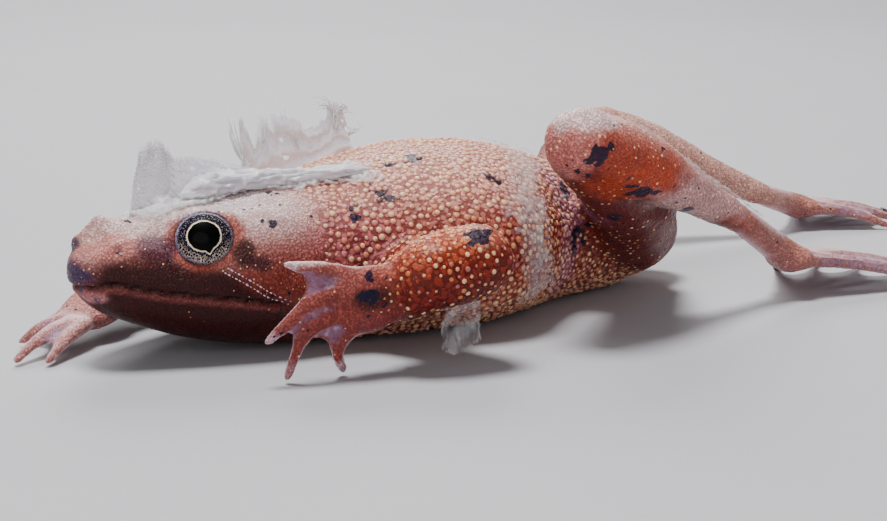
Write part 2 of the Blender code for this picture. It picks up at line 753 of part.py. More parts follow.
def finish(thing, material, home):
    """Gives a node its material and place, shades it smooth and files it."""
    thing.data.materials.clear()
    thing.data.materials.append(material)
    thing.data.transform(Matrix.Translation(-ORIGIN_FROM_SNOUT))
    thing.data.shade_smooth()
    thing.data.set_sharp_from_angle(angle=SHARP_ANGLE)
    bpy.context.scene.collection.objects.unlink(thing)
    home.objects.link(thing)


def main():
    """Builds the whole frog."""
    clear_scene()
    home = bpy.data.collections.new("african_dwarf_frog")
    bpy.context.scene.collection.children.link(home)
    back_skin = new_material("back skin", (0.42, 0.17, 0.08), 0.5)
    throat_skin = new_material("throat skin", (0.2, 0.06, 0.04), 0.5)
    eye_dark = new_material("eye", (0.02, 0.02, 0.03), 0.1)
    shed_skin = new_material("shed skin", (0.85, 0.82, 0.8), 0.4)

    for node in make_moult():
        finish(node, shed_skin, home)
    for node in (make_head(), make_torso()):
        finish(node, back_skin, home)
    arms = (("left", LEFT_ARM, LEFT_FINGERS), ("right", RIGHT_ARM, RIGHT_FINGERS))
    for side, arm, fingers in arms:
        for node in [*make_arm(side, arm), make_hand(side + "_hand", arm, fingers)]:
            finish(node, back_skin, home)
    legs = (("left", LEFT_LEG, LEFT_TOES), ("right", RIGHT_LEG, RIGHT_TOES))
    for side, leg, toes in legs:
        for node in [*make_leg(side, leg), make_foot(side + "_foot", leg, toes)]:
            finish(node, back_skin, home)
    finish(make_lower_jaw(), throat_skin, home)
    finish(make_eye("left_eye", 1), eye_dark, home)
    finish(make_eye("right_eye", -1), eye_dark, home)


main()
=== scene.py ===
"""Looks of a life-size African dwarf frog that lies on the floor while its moult comes off.

The frame gives the solids. One skin is drawn over all the pieces of flesh, and the warts,
eyes, claws and moult are pieces of their own. Places are given in millimetres from the tip
of the snout, +X towards the feet and -Y to the frog's left.
"""

import logging
import math
from dataclasses import dataclass, field
from enum import Enum

import bmesh
import bpy
import numpy as np
from bmesh.types import BMesh, BMVert
from bpy.types import Material, Mesh, Node, NodeSocket, NodeTree, Object
from mathutils import Matrix, Vector, noise
from mathutils.bvhtree import BVHTree


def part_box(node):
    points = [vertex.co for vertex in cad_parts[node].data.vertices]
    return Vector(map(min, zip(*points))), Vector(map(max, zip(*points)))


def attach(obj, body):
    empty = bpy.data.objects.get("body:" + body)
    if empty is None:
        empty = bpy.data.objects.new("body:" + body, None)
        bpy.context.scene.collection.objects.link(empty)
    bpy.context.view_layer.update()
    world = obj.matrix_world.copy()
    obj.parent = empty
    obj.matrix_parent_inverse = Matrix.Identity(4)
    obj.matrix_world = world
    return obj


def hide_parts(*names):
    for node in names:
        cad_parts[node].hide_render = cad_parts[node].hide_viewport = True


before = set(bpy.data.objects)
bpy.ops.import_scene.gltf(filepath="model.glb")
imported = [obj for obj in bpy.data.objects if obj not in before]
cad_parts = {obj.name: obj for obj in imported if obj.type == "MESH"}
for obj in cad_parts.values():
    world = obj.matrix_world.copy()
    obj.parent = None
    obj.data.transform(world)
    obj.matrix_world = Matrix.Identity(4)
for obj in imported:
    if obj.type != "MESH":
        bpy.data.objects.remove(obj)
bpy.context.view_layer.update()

Colour = tuple[int, int, int]
Place = tuple[float, float, float]

MM = 0.001
# In mm: more than any distance that matters on a piece, and a step under the skin.
FAR = 9.0
JUST_INSIDE = 0.02
PORE_WARP = (0.00016, 0.00016, 0.00016)
PORE_WARP_SCALE = 1500.0
PORE_SOFTNESS = 0.3
PORE_EDGES = (0.38, 0.62)
PORE_GRAIN = 9000.0
PORE_GRAIN_SHARE = 0.35
# Two points of a path this far apart, as a share of it, give the path's direction.
PATH_STEP = 0.01
LOG = logging.getLogger("frog")
logging.basicConfig(level=logging.INFO, format="%(name)s: %(message)s")

FLESH = (
    "head", "lower_jaw", "torso", "left_upper_arm", "left_forearm", "left_hand", "right_upper_arm",
    "right_forearm", "right_hand", "left_thigh", "left_shank", "left_foot", "right_thigh",
    "right_shank", "right_foot",
)
SNOUT_TIP = Vector((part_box("head")[0][0], (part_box("torso")[0][1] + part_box("torso")[1][1]) / 2, 0.0))


class Side(Enum):
    """The two sides of the frog, with the sign of Y that each lies on."""

    LEFT = -1
    RIGHT = 1

    @property
    def word(self) -> str:
        """The side's name, as the nodes spell it."""
        return self.name.lower()


def at(x: float, y: float, z: float) -> Vector:
    """A place in the frame, from millimetres behind, beside and above the snout tip."""
    return SNOUT_TIP + Vector((x, y, z)) * MM


def linear(red: int, green: int, blue: int) -> tuple[float, float, float]:
    """A display colour (0 to 255) as the light that it stands for."""

    def channel(value: int) -> float:
        """One channel of the colour."""
        share = value / 255
        return share / 12.92 if share <= 0.04045 else ((share + 0.055) / 1.055) ** 2.4

    return channel(red), channel(green), channel(blue)


def smoothstep(low: float, high: float, values: np.ndarray) -> np.ndarray:
    """0 below low, 1 above high, and a smooth rise between them. Low may be the larger."""
    share = np.clip((values - low) / (high - low), 0.0, 1.0)
    return share * share * (3 - 2 * share)


def smooth_edge(value: float, low: float, high: float) -> float:
    """0 below low, 1 above high, and a smooth rise between them, for one number."""
    share = min(1.0, max(0.0, (value - low) / (high - low)))
    return share * share * (3 - 2 * share)


def spline(points: list[Vector], share: float) -> Vector:
    """A point at a share of a smooth curve through the points.

    Args:
        points: The places that the curve passes.
        share: 0 at the first point, 1 at the last.

    Returns:
        The place on the curve.
    """
    spans = len(points) - 1
    place = min(max(share, 0.0), 1.0) * spans
    i = min(int(place), spans - 1)
    u = place - i
    p1, p2 = points[i], points[i + 1]
    p0 = points[i - 1] if i > 0 else p1 * 2 - p2
    p3 = points[i + 2] if i + 2 <= spans else p2 * 2 - p1
    return 0.5 * (
        p1 * 2
        + (p2 - p0) * u
        + (p0 * 2 - p1 * 5 + p2 * 4 - p3) * u * u
        + (p1 * 3 - p0 - p2 * 3 + p3) * u**3
    )


def new_object(name: str, mesh: Mesh) -> Object:
    """A mesh object in the scene, at the origin."""
    made = bpy.data.objects.new(name, mesh)
    bpy.context.scene.collection.objects.link(made)
    return made


def mesh_from(name: str, shape: BMesh) -> Mesh:
    """Turns a bmesh into a mesh and frees it."""
    mesh = bpy.data.meshes.new(name)
    shape.to_mesh(mesh)
    shape.free()
    return mesh


def evaluated(thing: Object) -> Mesh:
    """The plain mesh of an object with its modifiers, which are then removed."""
    graph = bpy.context.evaluated_depsgraph_get()
    mesh = bpy.data.meshes.new_from_object(thing.evaluated_get(graph))
    thing.modifiers.clear()
    thing.data = mesh
    return mesh


def points_of(mesh: Mesh) -> np.ndarray:
    """The places of a mesh's vertices, one row each."""
    flat = np.empty(len(mesh.vertices) * 3, np.float32)
    mesh.vertices.foreach_get("co", flat)
    return flat.reshape(-1, 3).astype(np.float64)


def normals_of(mesh: Mesh) -> np.ndarray:
    """The normals of a mesh's vertices, one row each."""
    flat = np.empty(len(mesh.vertices) * 3, np.float32)
    mesh.vertex_normals.foreach_get("vector", flat)
    return flat.reshape(-1, 3).astype(np.float64)


def set_points(mesh: Mesh, points: np.ndarray) -> None:
    """Moves a mesh's vertices to the given places."""
    mesh.vertices.foreach_set("co", points.astype(np.float32).ravel())
    mesh.update()


def edges_of(mesh: Mesh) -> np.ndarray:
    """The two ends of each edge."""
    flat = np.empty(len(mesh.edges) * 2, np.int32)
    mesh.edges.foreach_get("vertices", flat)
    return flat.reshape(-1, 2)


def spread(values: np.ndarray, edges: np.ndarray, rounds: int, share: float = 0.5) -> np.ndarray:
    """Averages values over neighbouring vertices.

    Args:
        values: One row for each vertex.
        edges: The ends of each edge.
        rounds: How often to average.
        share: How far each value moves towards its neighbours.

    Returns:
        The smoothed values.
    """
    count = len(values)
    ends = np.concatenate([edges[:, 0], edges[:, 1]])
    others = np.concatenate([edges[:, 1], edges[:, 0]])
    degree = np.maximum(np.bincount(ends, minlength=count), 1)
    result = values.astype(np.float64).reshape(count, -1)
    for _ in range(rounds):
        mean = np.stack(
            [
                np.bincount(ends, weights=result[others, column], minlength=count) / degree
                for column in range(result.shape[1])
            ],
            axis=1,
        )
        result = result + (mean - result) * share
    return result.reshape(values.shape)


def noise_over(points: np.ndarray, wavelength: float, seed: float) -> np.ndarray:
    """Smooth noise from about -1 to 1 at each place, in the units of the places."""
    shift = Vector((seed * 17.3, seed * 5.9, seed * 11.1))
    return np.array([noise.noise(Vector(point) / wavelength + shift) for point in points])


def store(mesh: Mesh, name: str, values: np.ndarray) -> None:
    """Stores one number or one colour at each vertex, as an attribute."""
    if values.ndim == 1:
        made = mesh.attributes.new(name, "FLOAT", "POINT")
        made.data.foreach_set("value", values.astype(np.float32))
        return
    if values.shape[1] == 2:
        made = mesh.attributes.new(name, "FLOAT2", "POINT")
        made.data.foreach_set("vector", values.astype(np.float32).ravel())
        return
    made = mesh.attributes.new(name, "FLOAT_COLOR", "POINT")
    colours = np.concatenate([values, np.ones((len(values), 1))], axis=1)
    made.data.foreach_set("color", colours.astype(np.float32).ravel())


def surface_of(things: list[Object]) -> BVHTree:
    """The faces of pieces as one surface, in millimetres from the snout tip."""
    places, faces = [], []
    for thing in things:
        first = len(places)
        places += [(vertex.co - SNOUT_TIP) / MM for vertex in thing.data.vertices]
        faces += [tuple(first + k for k in face.vertices) for face in thing.data.polygons]
    return BVHTree.FromPolygons(places, faces)


class Tree:
    """A material's node tree, with short ways to add and join nodes."""

    def __init__(self, tree: NodeTree) -> None:
        """Keeps the tree to build in."""
        self.tree = tree

    def add(self, kind: str, **settings: object) -> Node:
        """Adds a node with the given properties."""
        node = self.tree.nodes.new(kind)
        for key, value in settings.items():
            setattr(node, key, value)
        return node

    def link(self, source: object, target: object) -> None:
        """Joins an output to an input, or sets the input to a plain value."""
        if isinstance(source, NodeSocket):
            self.tree.links.new(source, target)
        else:
            target.default_value = source

    def attribute(self, name: str, output: str = "Fac") -> object:
        """One output of an attribute of the mesh."""
        return self.add("ShaderNodeAttribute", attribute_name=name).outputs[output]

    def feed(self, node: Node, **values: object) -> None:
        """Joins or sets inputs of a node by name, with _ for a blank."""
        for name, value in values.items():
            self.link(value, node.inputs[name.replace("_", " ")])

    def math(self, operation: str, a: object, b: object = 0.0, clamp: bool = False) -> object:
        """A sum of two values, or another operation on them."""
        node = self.add("ShaderNodeMath", operation=operation, use_clamp=clamp)
        self.link(a, node.inputs[0])
        self.link(b, node.inputs[1])
        return node.outputs[0]

    def times(self, a: object, b: object) -> object:
        """The product of two values."""
        return self.math("MULTIPLY", a, b)

    def ramp(self, value: object, low: float, high: float) -> object:
        """A value mapped smoothly to 0 at low and 1 at high."""
        node = self.add("ShaderNodeMapRange", interpolation_type="SMOOTHSTEP")
        self.feed(
            node, Value=value, From_Min=min(low, high), From_Max=max(low, high),
            To_Min=0.0 if low < high else 1.0, To_Max=1.0 if low < high else 0.0,
        )
        return node.outputs["Result"]

    def between(self, value: object, low: float, high: float) -> object:
        """A value from 0 to 1 mapped evenly to the span from low to high."""
        node = self.add("ShaderNodeMapRange")
        self.feed(node, Value=value, To_Min=low, To_Max=high)
        return node.outputs["Result"]

    def place(self) -> object:
        """The place of a point on its piece, in metres."""
        return self.add("ShaderNodeTexCoord").outputs["Object"]

    def blend(self, share: object, a: object, b: object) -> object:
        """A number between a and b."""
        node = self.add("ShaderNodeMix", data_type="FLOAT")
        self.link(share, node.inputs[0])
        self.link(a, node.inputs[2])
        self.link(b, node.inputs[3])
        return node.outputs[0]

    def mix(self, share: object, a: object, b: object, blend: str = "MIX") -> object:
        """A colour between a and b."""
        node = self.add("ShaderNodeMix", data_type="RGBA", blend_type=blend)
        self.link(share, node.inputs[0])
        for value, socket in ((a, node.inputs[6]), (b, node.inputs[7])):
            if isinstance(value, tuple) and len(value) == 3:
                value = (*value, 1.0)
            self.link(value, socket)
        return node.outputs[2]

    def noise(self, vector: object, scale: float, detail: float = 3.0, rough: float = 0.5) -> object:
        """Noise with that many waves in a metre, from 0 to 1."""
        node = self.add("ShaderNodeTexNoise")
        self.feed(node, Vector=vector, Scale=scale, Detail=detail, Roughness=rough)
        return node.outputs["Fac"]

    def cells(self, vector: object, scale: float, feature: str = "F1") -> object:
        """The distance to the middle, or the edge, of the cell around a place."""
        node = self.add("ShaderNodeTexVoronoi", feature=feature)
        self.feed(node, Vector=vector, Scale=scale)
        return node.outputs["Distance"]

    def named(self, name: str, kind: str = "FLOAT") -> object:
        """An attribute of the geometry, in a geometry tree."""
        node = self.add("GeometryNodeInputNamedAttribute", data_type=kind)
        self.feed(node, Name=name)
        return node.outputs["Attribute"]

    def keep(self, geometry: object, name: str, value: object, kind: str, domain: str) -> object:
        """Stores a value on the geometry as an attribute, in a geometry tree."""
        node = self.add("GeometryNodeStoreNamedAttribute", data_type=kind, domain=domain)
        self.feed(node, Name=name, Geometry=geometry, Value=value)
        return node.outputs["Geometry"]

    def realized(self, geometry: object) -> object:
        """The geometry with its instances made real."""
        node = self.add("GeometryNodeRealizeInstances")
        self.feed(node, Geometry=geometry)
        return node.outputs["Geometry"]

    def close(self, geometry: object, material: Material) -> None:
        """Ends a geometry tree with real geometry, smooth and in its finish."""
        smooth = self.add("GeometryNodeSetShadeSmooth")
        self.feed(smooth, Geometry=geometry)
        finish = self.add("GeometryNodeSetMaterial")
        self.feed(finish, Geometry=self.realized(smooth.outputs["Geometry"]), Material=material)
        leave = self.add("NodeGroupOutput")
        self.feed(leave, Geometry=finish.outputs["Geometry"])

    def bump(self, height: object, distance: float, strength: float, below: object = None) -> object:
        """A normal bent by a height, in metres where the height is 1."""
        node = self.add("ShaderNodeBump")
        self.feed(node, Strength=strength, Distance=distance, Height=height)
        if below is not None:
            self.feed(node, Normal=below)
        return node.outputs["Normal"]


def new_material(name: str) -> tuple[Material, Tree, Node]:
    """A material, its tree and its Principled shader."""
    material = bpy.data.materials.new(name)
    material.use_nodes = True
    shader = material.node_tree.nodes["Principled BSDF"]
    return material, Tree(material.node_tree), shader


def geometry_tree(name: str, sizes: dict[str, str]) -> tuple[NodeTree, Tree, dict]:
    """A geometry tree with one geometry in, one out, and the named sizes.

    Args:
        name: The tree's name.
        sizes: The name of each size, and the kind of its socket.

    Returns:
        The group, the tree to build in, and the group's inputs by name.
    """
    group = bpy.data.node_groups.new(name, "GeometryNodeTree")
    face = group.interface
    face.new_socket("Geometry", in_out="INPUT", socket_type="NodeSocketGeometry")
    for size, kind in sizes.items():
        face.new_socket(size, in_out="INPUT", socket_type=kind)
    face.new_socket("Geometry", in_out="OUTPUT", socket_type="NodeSocketGeometry")
    tree = Tree(group)
    return group, tree, tree.add("NodeGroupInput").outputs


def grown(thing: Object, group: NodeTree, **sizes: float) -> None:
    """Runs a geometry tree on an object, and keeps the result as its plain mesh.

    Args:
        thing: The object.
        group: The tree.
        sizes: What to set each of the tree's named inputs to.
    """
    sockets = {
        item.name: item.identifier
        for item in group.interface.items_tree
        if item.in_out == "INPUT"
    }
    modifier = thing.modifiers.new(group.name, "NODES")
    modifier.node_group = group
    for name, value in sizes.items():
        modifier[sockets[name]] = value
    evaluated(thing)


def bridge(shape: BMesh, loops: list[list[BMVert]], capped: bool = False, ringed: bool = False) -> None:
    """Joins each loop of vertices to the next with faces.

    Args:
        shape: The mesh being built.
        loops: Loops of vertices, all with the same number of them.
        capped: Whether a face closes the first and the last loop.
        ringed: Whether the last loop joins the first.
    """
    pairs = list(zip(loops, loops[1:]))
    if ringed:
        pairs.append((loops[-1], loops[0]))
    for before, after in pairs:
        for j in range(len(before)):
            k = (j + 1) % len(before)
            shape.faces.new((before[j], after[j], after[k], before[k]))
    if capped:
        shape.faces.new(loops[0])
        shape.faces.new(loops[-1])


def settle(thing: Object, material: Material | None, slot: str, *nodes: str) -> Object:
    """Gives a piece its finish and its place in the frame, and reports it.

    Args:
        thing: The piece.
        material: Its finish, or None where it has it already.
        slot: The slot that its finish fills; not used.
        nodes: The nodes of the frame that it takes the place of.

    Returns:
        The piece.
    """
    if material is not None:
        thing.data.shade_smooth()
        thing.data.materials.clear()
        thing.data.materials.append(material)
    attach(thing, "root")
    if nodes:
        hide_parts(*nodes)
    triangles = sum(len(polygon.vertices) - 2 for polygon in thing.data.polygons)
    LOG.info("%s: %d triangles", thing.name, triangles)
    return thing


def pore_group() -> NodeTree:
    """The effect of fine pits and grains that all the frog's skin shares.

    Returns:
        A group with the inputs Vector, Pits per metre and Depth, and the outputs Pits
        (1 in a pit) and Height.
    """
    group = bpy.data.node_groups.new("Skin pores", "ShaderNodeTree")
    group.interface.new_socket("Vector", in_out="INPUT", socket_type="NodeSocketVector")
    scale = group.interface.new_socket("Pits per metre", in_out="INPUT", socket_type="NodeSocketFloat")
    scale.default_value = 3000.0
    group.interface.new_socket("Pits", in_out="OUTPUT", socket_type="NodeSocketFloat")
    group.interface.new_socket("Height", in_out="OUTPUT", socket_type="NodeSocketFloat")
    tree = Tree(group)
    entry = tree.add("NodeGroupInput")
    leave = tree.add("NodeGroupOutput")
    warp = tree.add("ShaderNodeTexNoise")
    tree.feed(warp, Vector=entry.outputs["Vector"], Scale=PORE_WARP_SCALE)
    warped = tree.add("ShaderNodeVectorMath", operation="MULTIPLY_ADD")
    tree.link(warp.outputs["Color"], warped.inputs[0])
    warped.inputs[1].default_value = PORE_WARP
    tree.link(entry.outputs["Vector"], warped.inputs[2])
    cells = tree.add("ShaderNodeTexVoronoi", feature="SMOOTH_F1")
    tree.feed(
        cells, Vector=warped.outputs[0], Scale=entry.outputs["Pits per metre"],
        Smoothness=PORE_SOFTNESS,
    )
    pits = tree.ramp(cells.outputs["Distance"], *PORE_EDGES)
    fine = tree.noise(entry.outputs["Vector"], PORE_GRAIN, 2.0)
    height = tree.math("SUBTRACT", tree.times(fine, PORE_GRAIN_SHARE), pits)
    tree.feed(leave, Pits=pits, Height=height)
    return group


@dataclass(frozen=True)
class Hide:
    """The colours of one stretch of skin, and how it is warted. The top colour is partly painted light,
    and the under colour partly painted shade.
    """

    top: Colour
    side: Colour
    under: Colour
    warts: float
    wart_size: float


def sides_of(place: Place, both_sides: bool) -> tuple[Place, ...]:
    """The place alone or, where both sides have it, with its mirror image."""
    x, y, z = place
    return (place, (x, -y, z)) if both_sides else (place,)


@dataclass(frozen=True)
class Wash:
    """A soft patch of colour on the skin, an ellipsoid around a place in millimetres."""

    place: Place
    reach: Place
    colour: Colour
    strength: float
    edge: float = 0.6
    both_sides: bool = False


# Tops are lighter partly as painted light from above; the darker under colours are partly painted shade.
HIDES = {
    "head": Hide((248, 228, 224), (166, 84, 72), (54, 8, 7), 0.5, 0.5),
    "lower_jaw": Hide((110, 40, 40), (84, 20, 17), (104, 34, 28), 0.5, 0.4),
    "torso": Hide((240, 190, 174), (170, 76, 62), (196, 140, 122), 1.0, 1.1),
    "upper_arm": Hide((190, 84, 54), (132, 38, 24), (90, 22, 18), 0.9, 0.8),
    "forearm": Hide((236, 140, 92), (152, 48, 26), (84, 18, 14), 0.75, 0.85),
    "hand": Hide((222, 158, 148), (160, 78, 68), (156, 92, 96), 0.2, 0.4),
    "thigh": Hide((212, 138, 118), (128, 46, 44), (122, 50, 48), 0.35, 0.6),
    "shank": Hide((250, 210, 196), (196, 82, 50), (104, 34, 30), 0.3, 0.6),
    "foot": Hide((220, 168, 148), (172, 104, 88), (190, 140, 140), 0.12, 0.4),
}
WEB_COLOUR = (172, 128, 160)
SPOT_COLOUR = (12, 10, 44)
MAROON = (78, 16, 16)
CHEEK_TONE_AND_SHADE = (64, 9, 8)
LIP_COLOUR = (170, 92, 86)
LID_COLOUR = (198, 104, 84)
GROOVE_SHADE_COLOUR = (22, 3, 4)
NOSTRIL = (1.45, 1.6, 5.27)

# The level below which the head is painted dark, its own colour deepened by painted shade, behind the
# snout tip and above the floor, in mm.
CHEEK_LINE = (
    (0.0, 4.2), (0.6, 4.75), (1.2, 5.0), (2.0, 5.15), (3.0, 5.25), (4.4, 4.8), (5.6, 4.5),
    (6.2, 4.0), (6.9, 3.5), (7.5, 3.05), (8.7, 2.4), (10.0, 1.9),
)

WASHES = (
    Wash((1.2, 1.2, 5.55), (1.5, 1.5, 0.6), (222, 140, 128), 0.7, both_sides=True),
    Wash((0.9, 0.3, 5.9), (0.8, 0.8, 0.4), (240, 206, 190), 0.7),
    Wash((0.5, 1.2, 5.3), (0.7, 0.9, 0.5), (28, 44, 70), 0.9),
    Wash((0.0, 0.0, 4.35), (0.7, 1.3, 0.55), (46, 42, 88), 0.85),
    Wash((0.5, -0.7, 3.35), (0.8, 0.8, 0.35), (216, 146, 146), 0.75),
    Wash((0.25, -0.35, 3.5), (0.2, 0.25, 0.18), (70, 60, 120), 0.8),
    Wash((0.6, -0.95, 3.2), (0.22, 0.22, 0.18), (70, 60, 120), 0.7),
    Wash((3.0, 2.3, 5.5), (1.0, 0.8, 0.6), (76, 50, 78), 0.7, both_sides=True),
    # Painted shadow below and behind each eye.
    Wash((6.5, 3.8, 5.1), (0.55, 0.6, 0.7), (26, 4, 6), 0.85, both_sides=True),
    Wash((7.2, -4.2, 4.6), (0.5, 0.6, 0.35), (30, 14, 40), 0.7),
    Wash((19.4, -10.4, 10.0), (1.6, 2.4, 2.2), (240, 158, 148), 0.6),
    Wash((20.6, -10.8, 11.2), (3.0, 2.2, 0.9), (252, 232, 228), 0.8),
    Wash((23.5, -11.2, 7.6), (2.8, 1.8, 1.3), (206, 74, 24), 0.65),
    Wash((29.5, -10.6, 6.6), (4.6, 1.6, 1.7), (226, 186, 182), 0.7),
    Wash((45.5, 6.6, 5.2), (9.0, 5.0, 4.4), (226, 186, 170), 0.7),
    Wash((7.4, -8.4, 5.5), (1.9, 0.7, 0.3), (252, 228, 224), 0.8),
    Wash((13.0, -4.4, 5.2), (3.6, 1.8, 1.5), (196, 118, 124), 0.5),
    Wash((6.4, 1.2, 7.0), (2.8, 1.5, 0.7), (250, 242, 242), 0.7, both_sides=True),
    Wash((2.6, 2.2, 5.0), (0.9, 0.6, 0.4), (96, 38, 34), 0.6, both_sides=True),
    Wash((24.8, -4.4, 4.6), (1.0, 3.0, 4.5), (184, 132, 168), 0.45),
    Wash((9.4, -9.8, 3.6), (0.9, 0.7, 0.5), (40, 6, 6), 0.75),
    Wash((12.6, -11.2, 3.4), (2.2, 1.2, 0.8), (120, 26, 12), 0.55),
    Wash((14.3, -11.3, 6.3), (1.2, 1.2, 0.9), (244, 176, 140), 0.45),
    Wash((5.1, -8.1, 2.0), (0.5, 0.5, 0.5), (224, 190, 204), 0.7),
    Wash((6.2, -7.9, 5.2), (0.5, 0.5, 0.4), (246, 224, 226), 0.8),
    Wash((6.1, -8.0, 0.5), (0.5, 0.5, 0.7), (210, 160, 166), 0.6),
    Wash((8.7, -8.4, 0.5), (0.5, 0.5, 0.6), (236, 208, 218), 0.7),
    Wash((0.0, 3.0, 0.8), (3.2, 5.0, 1.4), (232, 176, 168), 0.55),
    Wash((10.4, 0.0, 0.3), (2.6, 6.0, 1.4), (140, 70, 58), 0.6, 1.2),
)

# Blue-black spots: the place of each, in mm, and how far it reaches.
SPOTS = (
    ((13.95, -11.53, 6.01), 0.40), ((9.30, -9.84, 3.78), 0.42), ((13.78, -4.10, 7.25), 0.24),
    ((13.95, -4.66, 6.96), 0.22), ((12.07, -4.18, 6.65), 0.16), ((12.00, -4.60, 6.24), 0.18),
    ((10.05, -3.80, 6.38), 0.14), ((8.21, -3.39, 6.27), 0.16), ((7.87, -3.26, 6.29), 0.14),
    ((9.23, -1.39, 7.29), 0.14), ((9.50, -1.75, 7.26), 0.14), ((16.85, -2.46, 8.47), 0.34),
    ((15.47, -2.47, 8.23), 0.26), ((19.31, -5.51, 7.66), 0.38), ((20.44, -11.99, 9.32), 0.46),
    ((24.04, -11.22, 7.17), 0.60), ((24.63, -8.71, 5.54), 0.34), ((27.79, -10.65, 5.97), 0.30),
    ((25.57, -4.93, 4.18), 0.50), ((25.47, -4.06, 6.32), 0.42), ((2.64, -0.30, 6.34), 0.16),
    ((2.30, 0.35, 6.20), 0.14), ((15.00, 3.80, 7.90), 0.34), ((19.50, 5.00, 8.10), 0.38),
    ((22.40, 6.60, 5.50), 0.40), ((12.50, 4.40, 6.90), 0.24), ((17.40, 6.60, 6.60), 0.30),
    ((29.50, -2.00, 6.50), 0.30), ((26.50, 3.20, 7.10), 0.36), ((36.50, 7.00, 8.20), 0.40),
    ((41.50, 8.80, 7.60), 0.42), ((45.00, 7.40, 5.90), 0.28), ((9.50, 8.90, 4.80), 0.34),
    ((21.0, 0.60, 8.80), 0.26),
)


@dataclass(frozen=True)
class Digits:
    """The fingers or toes of one hand or foot: the line of each and its radii."""

    node: str
    lines: tuple[tuple[Place, ...], ...]
    radii: tuple[float, float, float]


TOE_TIP_LEVEL = 0.26
TOE_ARCH_LEVEL = 0.48


def toe_lines(root: Place, tips: tuple[tuple[float, float], ...]) -> tuple[tuple[Place, ...], ...]:
    """The lines of the toes, each from the foot's end over a low arch to its tip.

    Args:
        root: Where the toes part.
        tips: The tip of each toe, on the floor.

    Returns:
        The line of each toe.
    """
    x0, y0, z0 = root
    lines = []
    for x, y in tips:
        middle = ((x0 + x) / 2, (y0 + y) / 2, z0 / 2 + TOE_ARCH_LEVEL)
        lines.append((root, middle, (x, y, TOE_TIP_LEVEL)))
    return tuple(lines)


LEFT_TOE_ROOT = (37.4, -9.0, 2.15)
RIGHT_TOE_ROOT = (55.3, 5.4, 1.5)
LEFT_TOE_TIPS = ((42.6, -3.7), (45.6, -4.2), (48.0, -5.9), (48.6, -8.8), (45.9, -12.3))
RIGHT_TOE_TIPS = ((59.9, 1.5), (62.7, 2.9), (64.5, 5.6), (64.4, 8.8), (61.6, 11.3))
DIGITS = (
    Digits(
        "left_hand",
        (
            ((8.9, -8.9, 4.6), (7.45, -8.5, 5.05), (6.21, -7.8, 5.2)),
            ((8.3, -8.9, 3.95), (6.6, -8.6, 3.4), (5.06, -8.1, 1.99)),
            ((8.4, -8.9, 3.1), (6.65, -8.7, 2.35), (6.08, -8.0, 0.26)),
            ((8.9, -8.9, 2.3), (8.2, -8.7, 1.35), (8.75, -8.4, 0.26)),
        ),
        (0.46, 0.36, 0.28),
    ),
    Digits(
        "right_hand",
        (
            ((1.9, 3.2, 1.15), (0.5, 2.1, 0.85), (-1.0, 0.9, 0.26)),
            ((1.5, 3.7, 1.2), (-0.4, 2.9, 0.95), (-2.1, 1.9, 0.26)),
            ((1.6, 4.5, 1.2), (0.5, 5.0, 0.9), (-0.4, 5.3, 0.26)),
            ((2.0, 5.1, 1.15), (1.7, 6.3, 0.85), (1.5, 7.5, 0.26)),
        ),
        (0.46, 0.36, 0.28),
    ),
    Digits("left_foot", toe_lines(LEFT_TOE_ROOT, LEFT_TOE_TIPS), (0.52, 0.42, 0.3)),
    Digits("right_foot", toe_lines(RIGHT_TOE_ROOT, RIGHT_TOE_TIPS), (0.52, 0.42, 0.3)),
)


@dataclass(frozen=True)
class Bump:
    """A soft rise of the skin, an ellipsoid around a place, and how high it lifts."""

    place: Place
    reach: Place
    height: float
    both_sides: bool = False


BUMPS = (
    Bump((0.9, 1.35, 5.45), (0.5, 0.55, 0.5), 0.42), Bump((1.1, 0.7, 5.8), (0.42, 0.4, 0.4), 0.34),
    Bump((1.6, 0.3, 6.2), (0.5, 0.6, 0.5), 0.85), Bump((0.0, -0.2, 4.6), (0.7, 1.4, 0.8), 0.2),
    Bump((2.6, 0.2, 6.25), (0.5, 0.6, 0.4), 0.3),
    Bump((1.7, 1.45, 5.62), (0.45, 0.3, 0.3), 0.14, both_sides=True),
    Bump((3.0, 1.2, 6.3), (0.8, 0.35, 0.4), 0.10, both_sides=True),
    Bump((7.9, 3.7, 5.2), (1.1, 0.5, 0.45), 0.16, both_sides=True),
    Bump((8.9, 4.4, 3.2), (0.7, 0.5, 0.6), 0.18, both_sides=True),
)


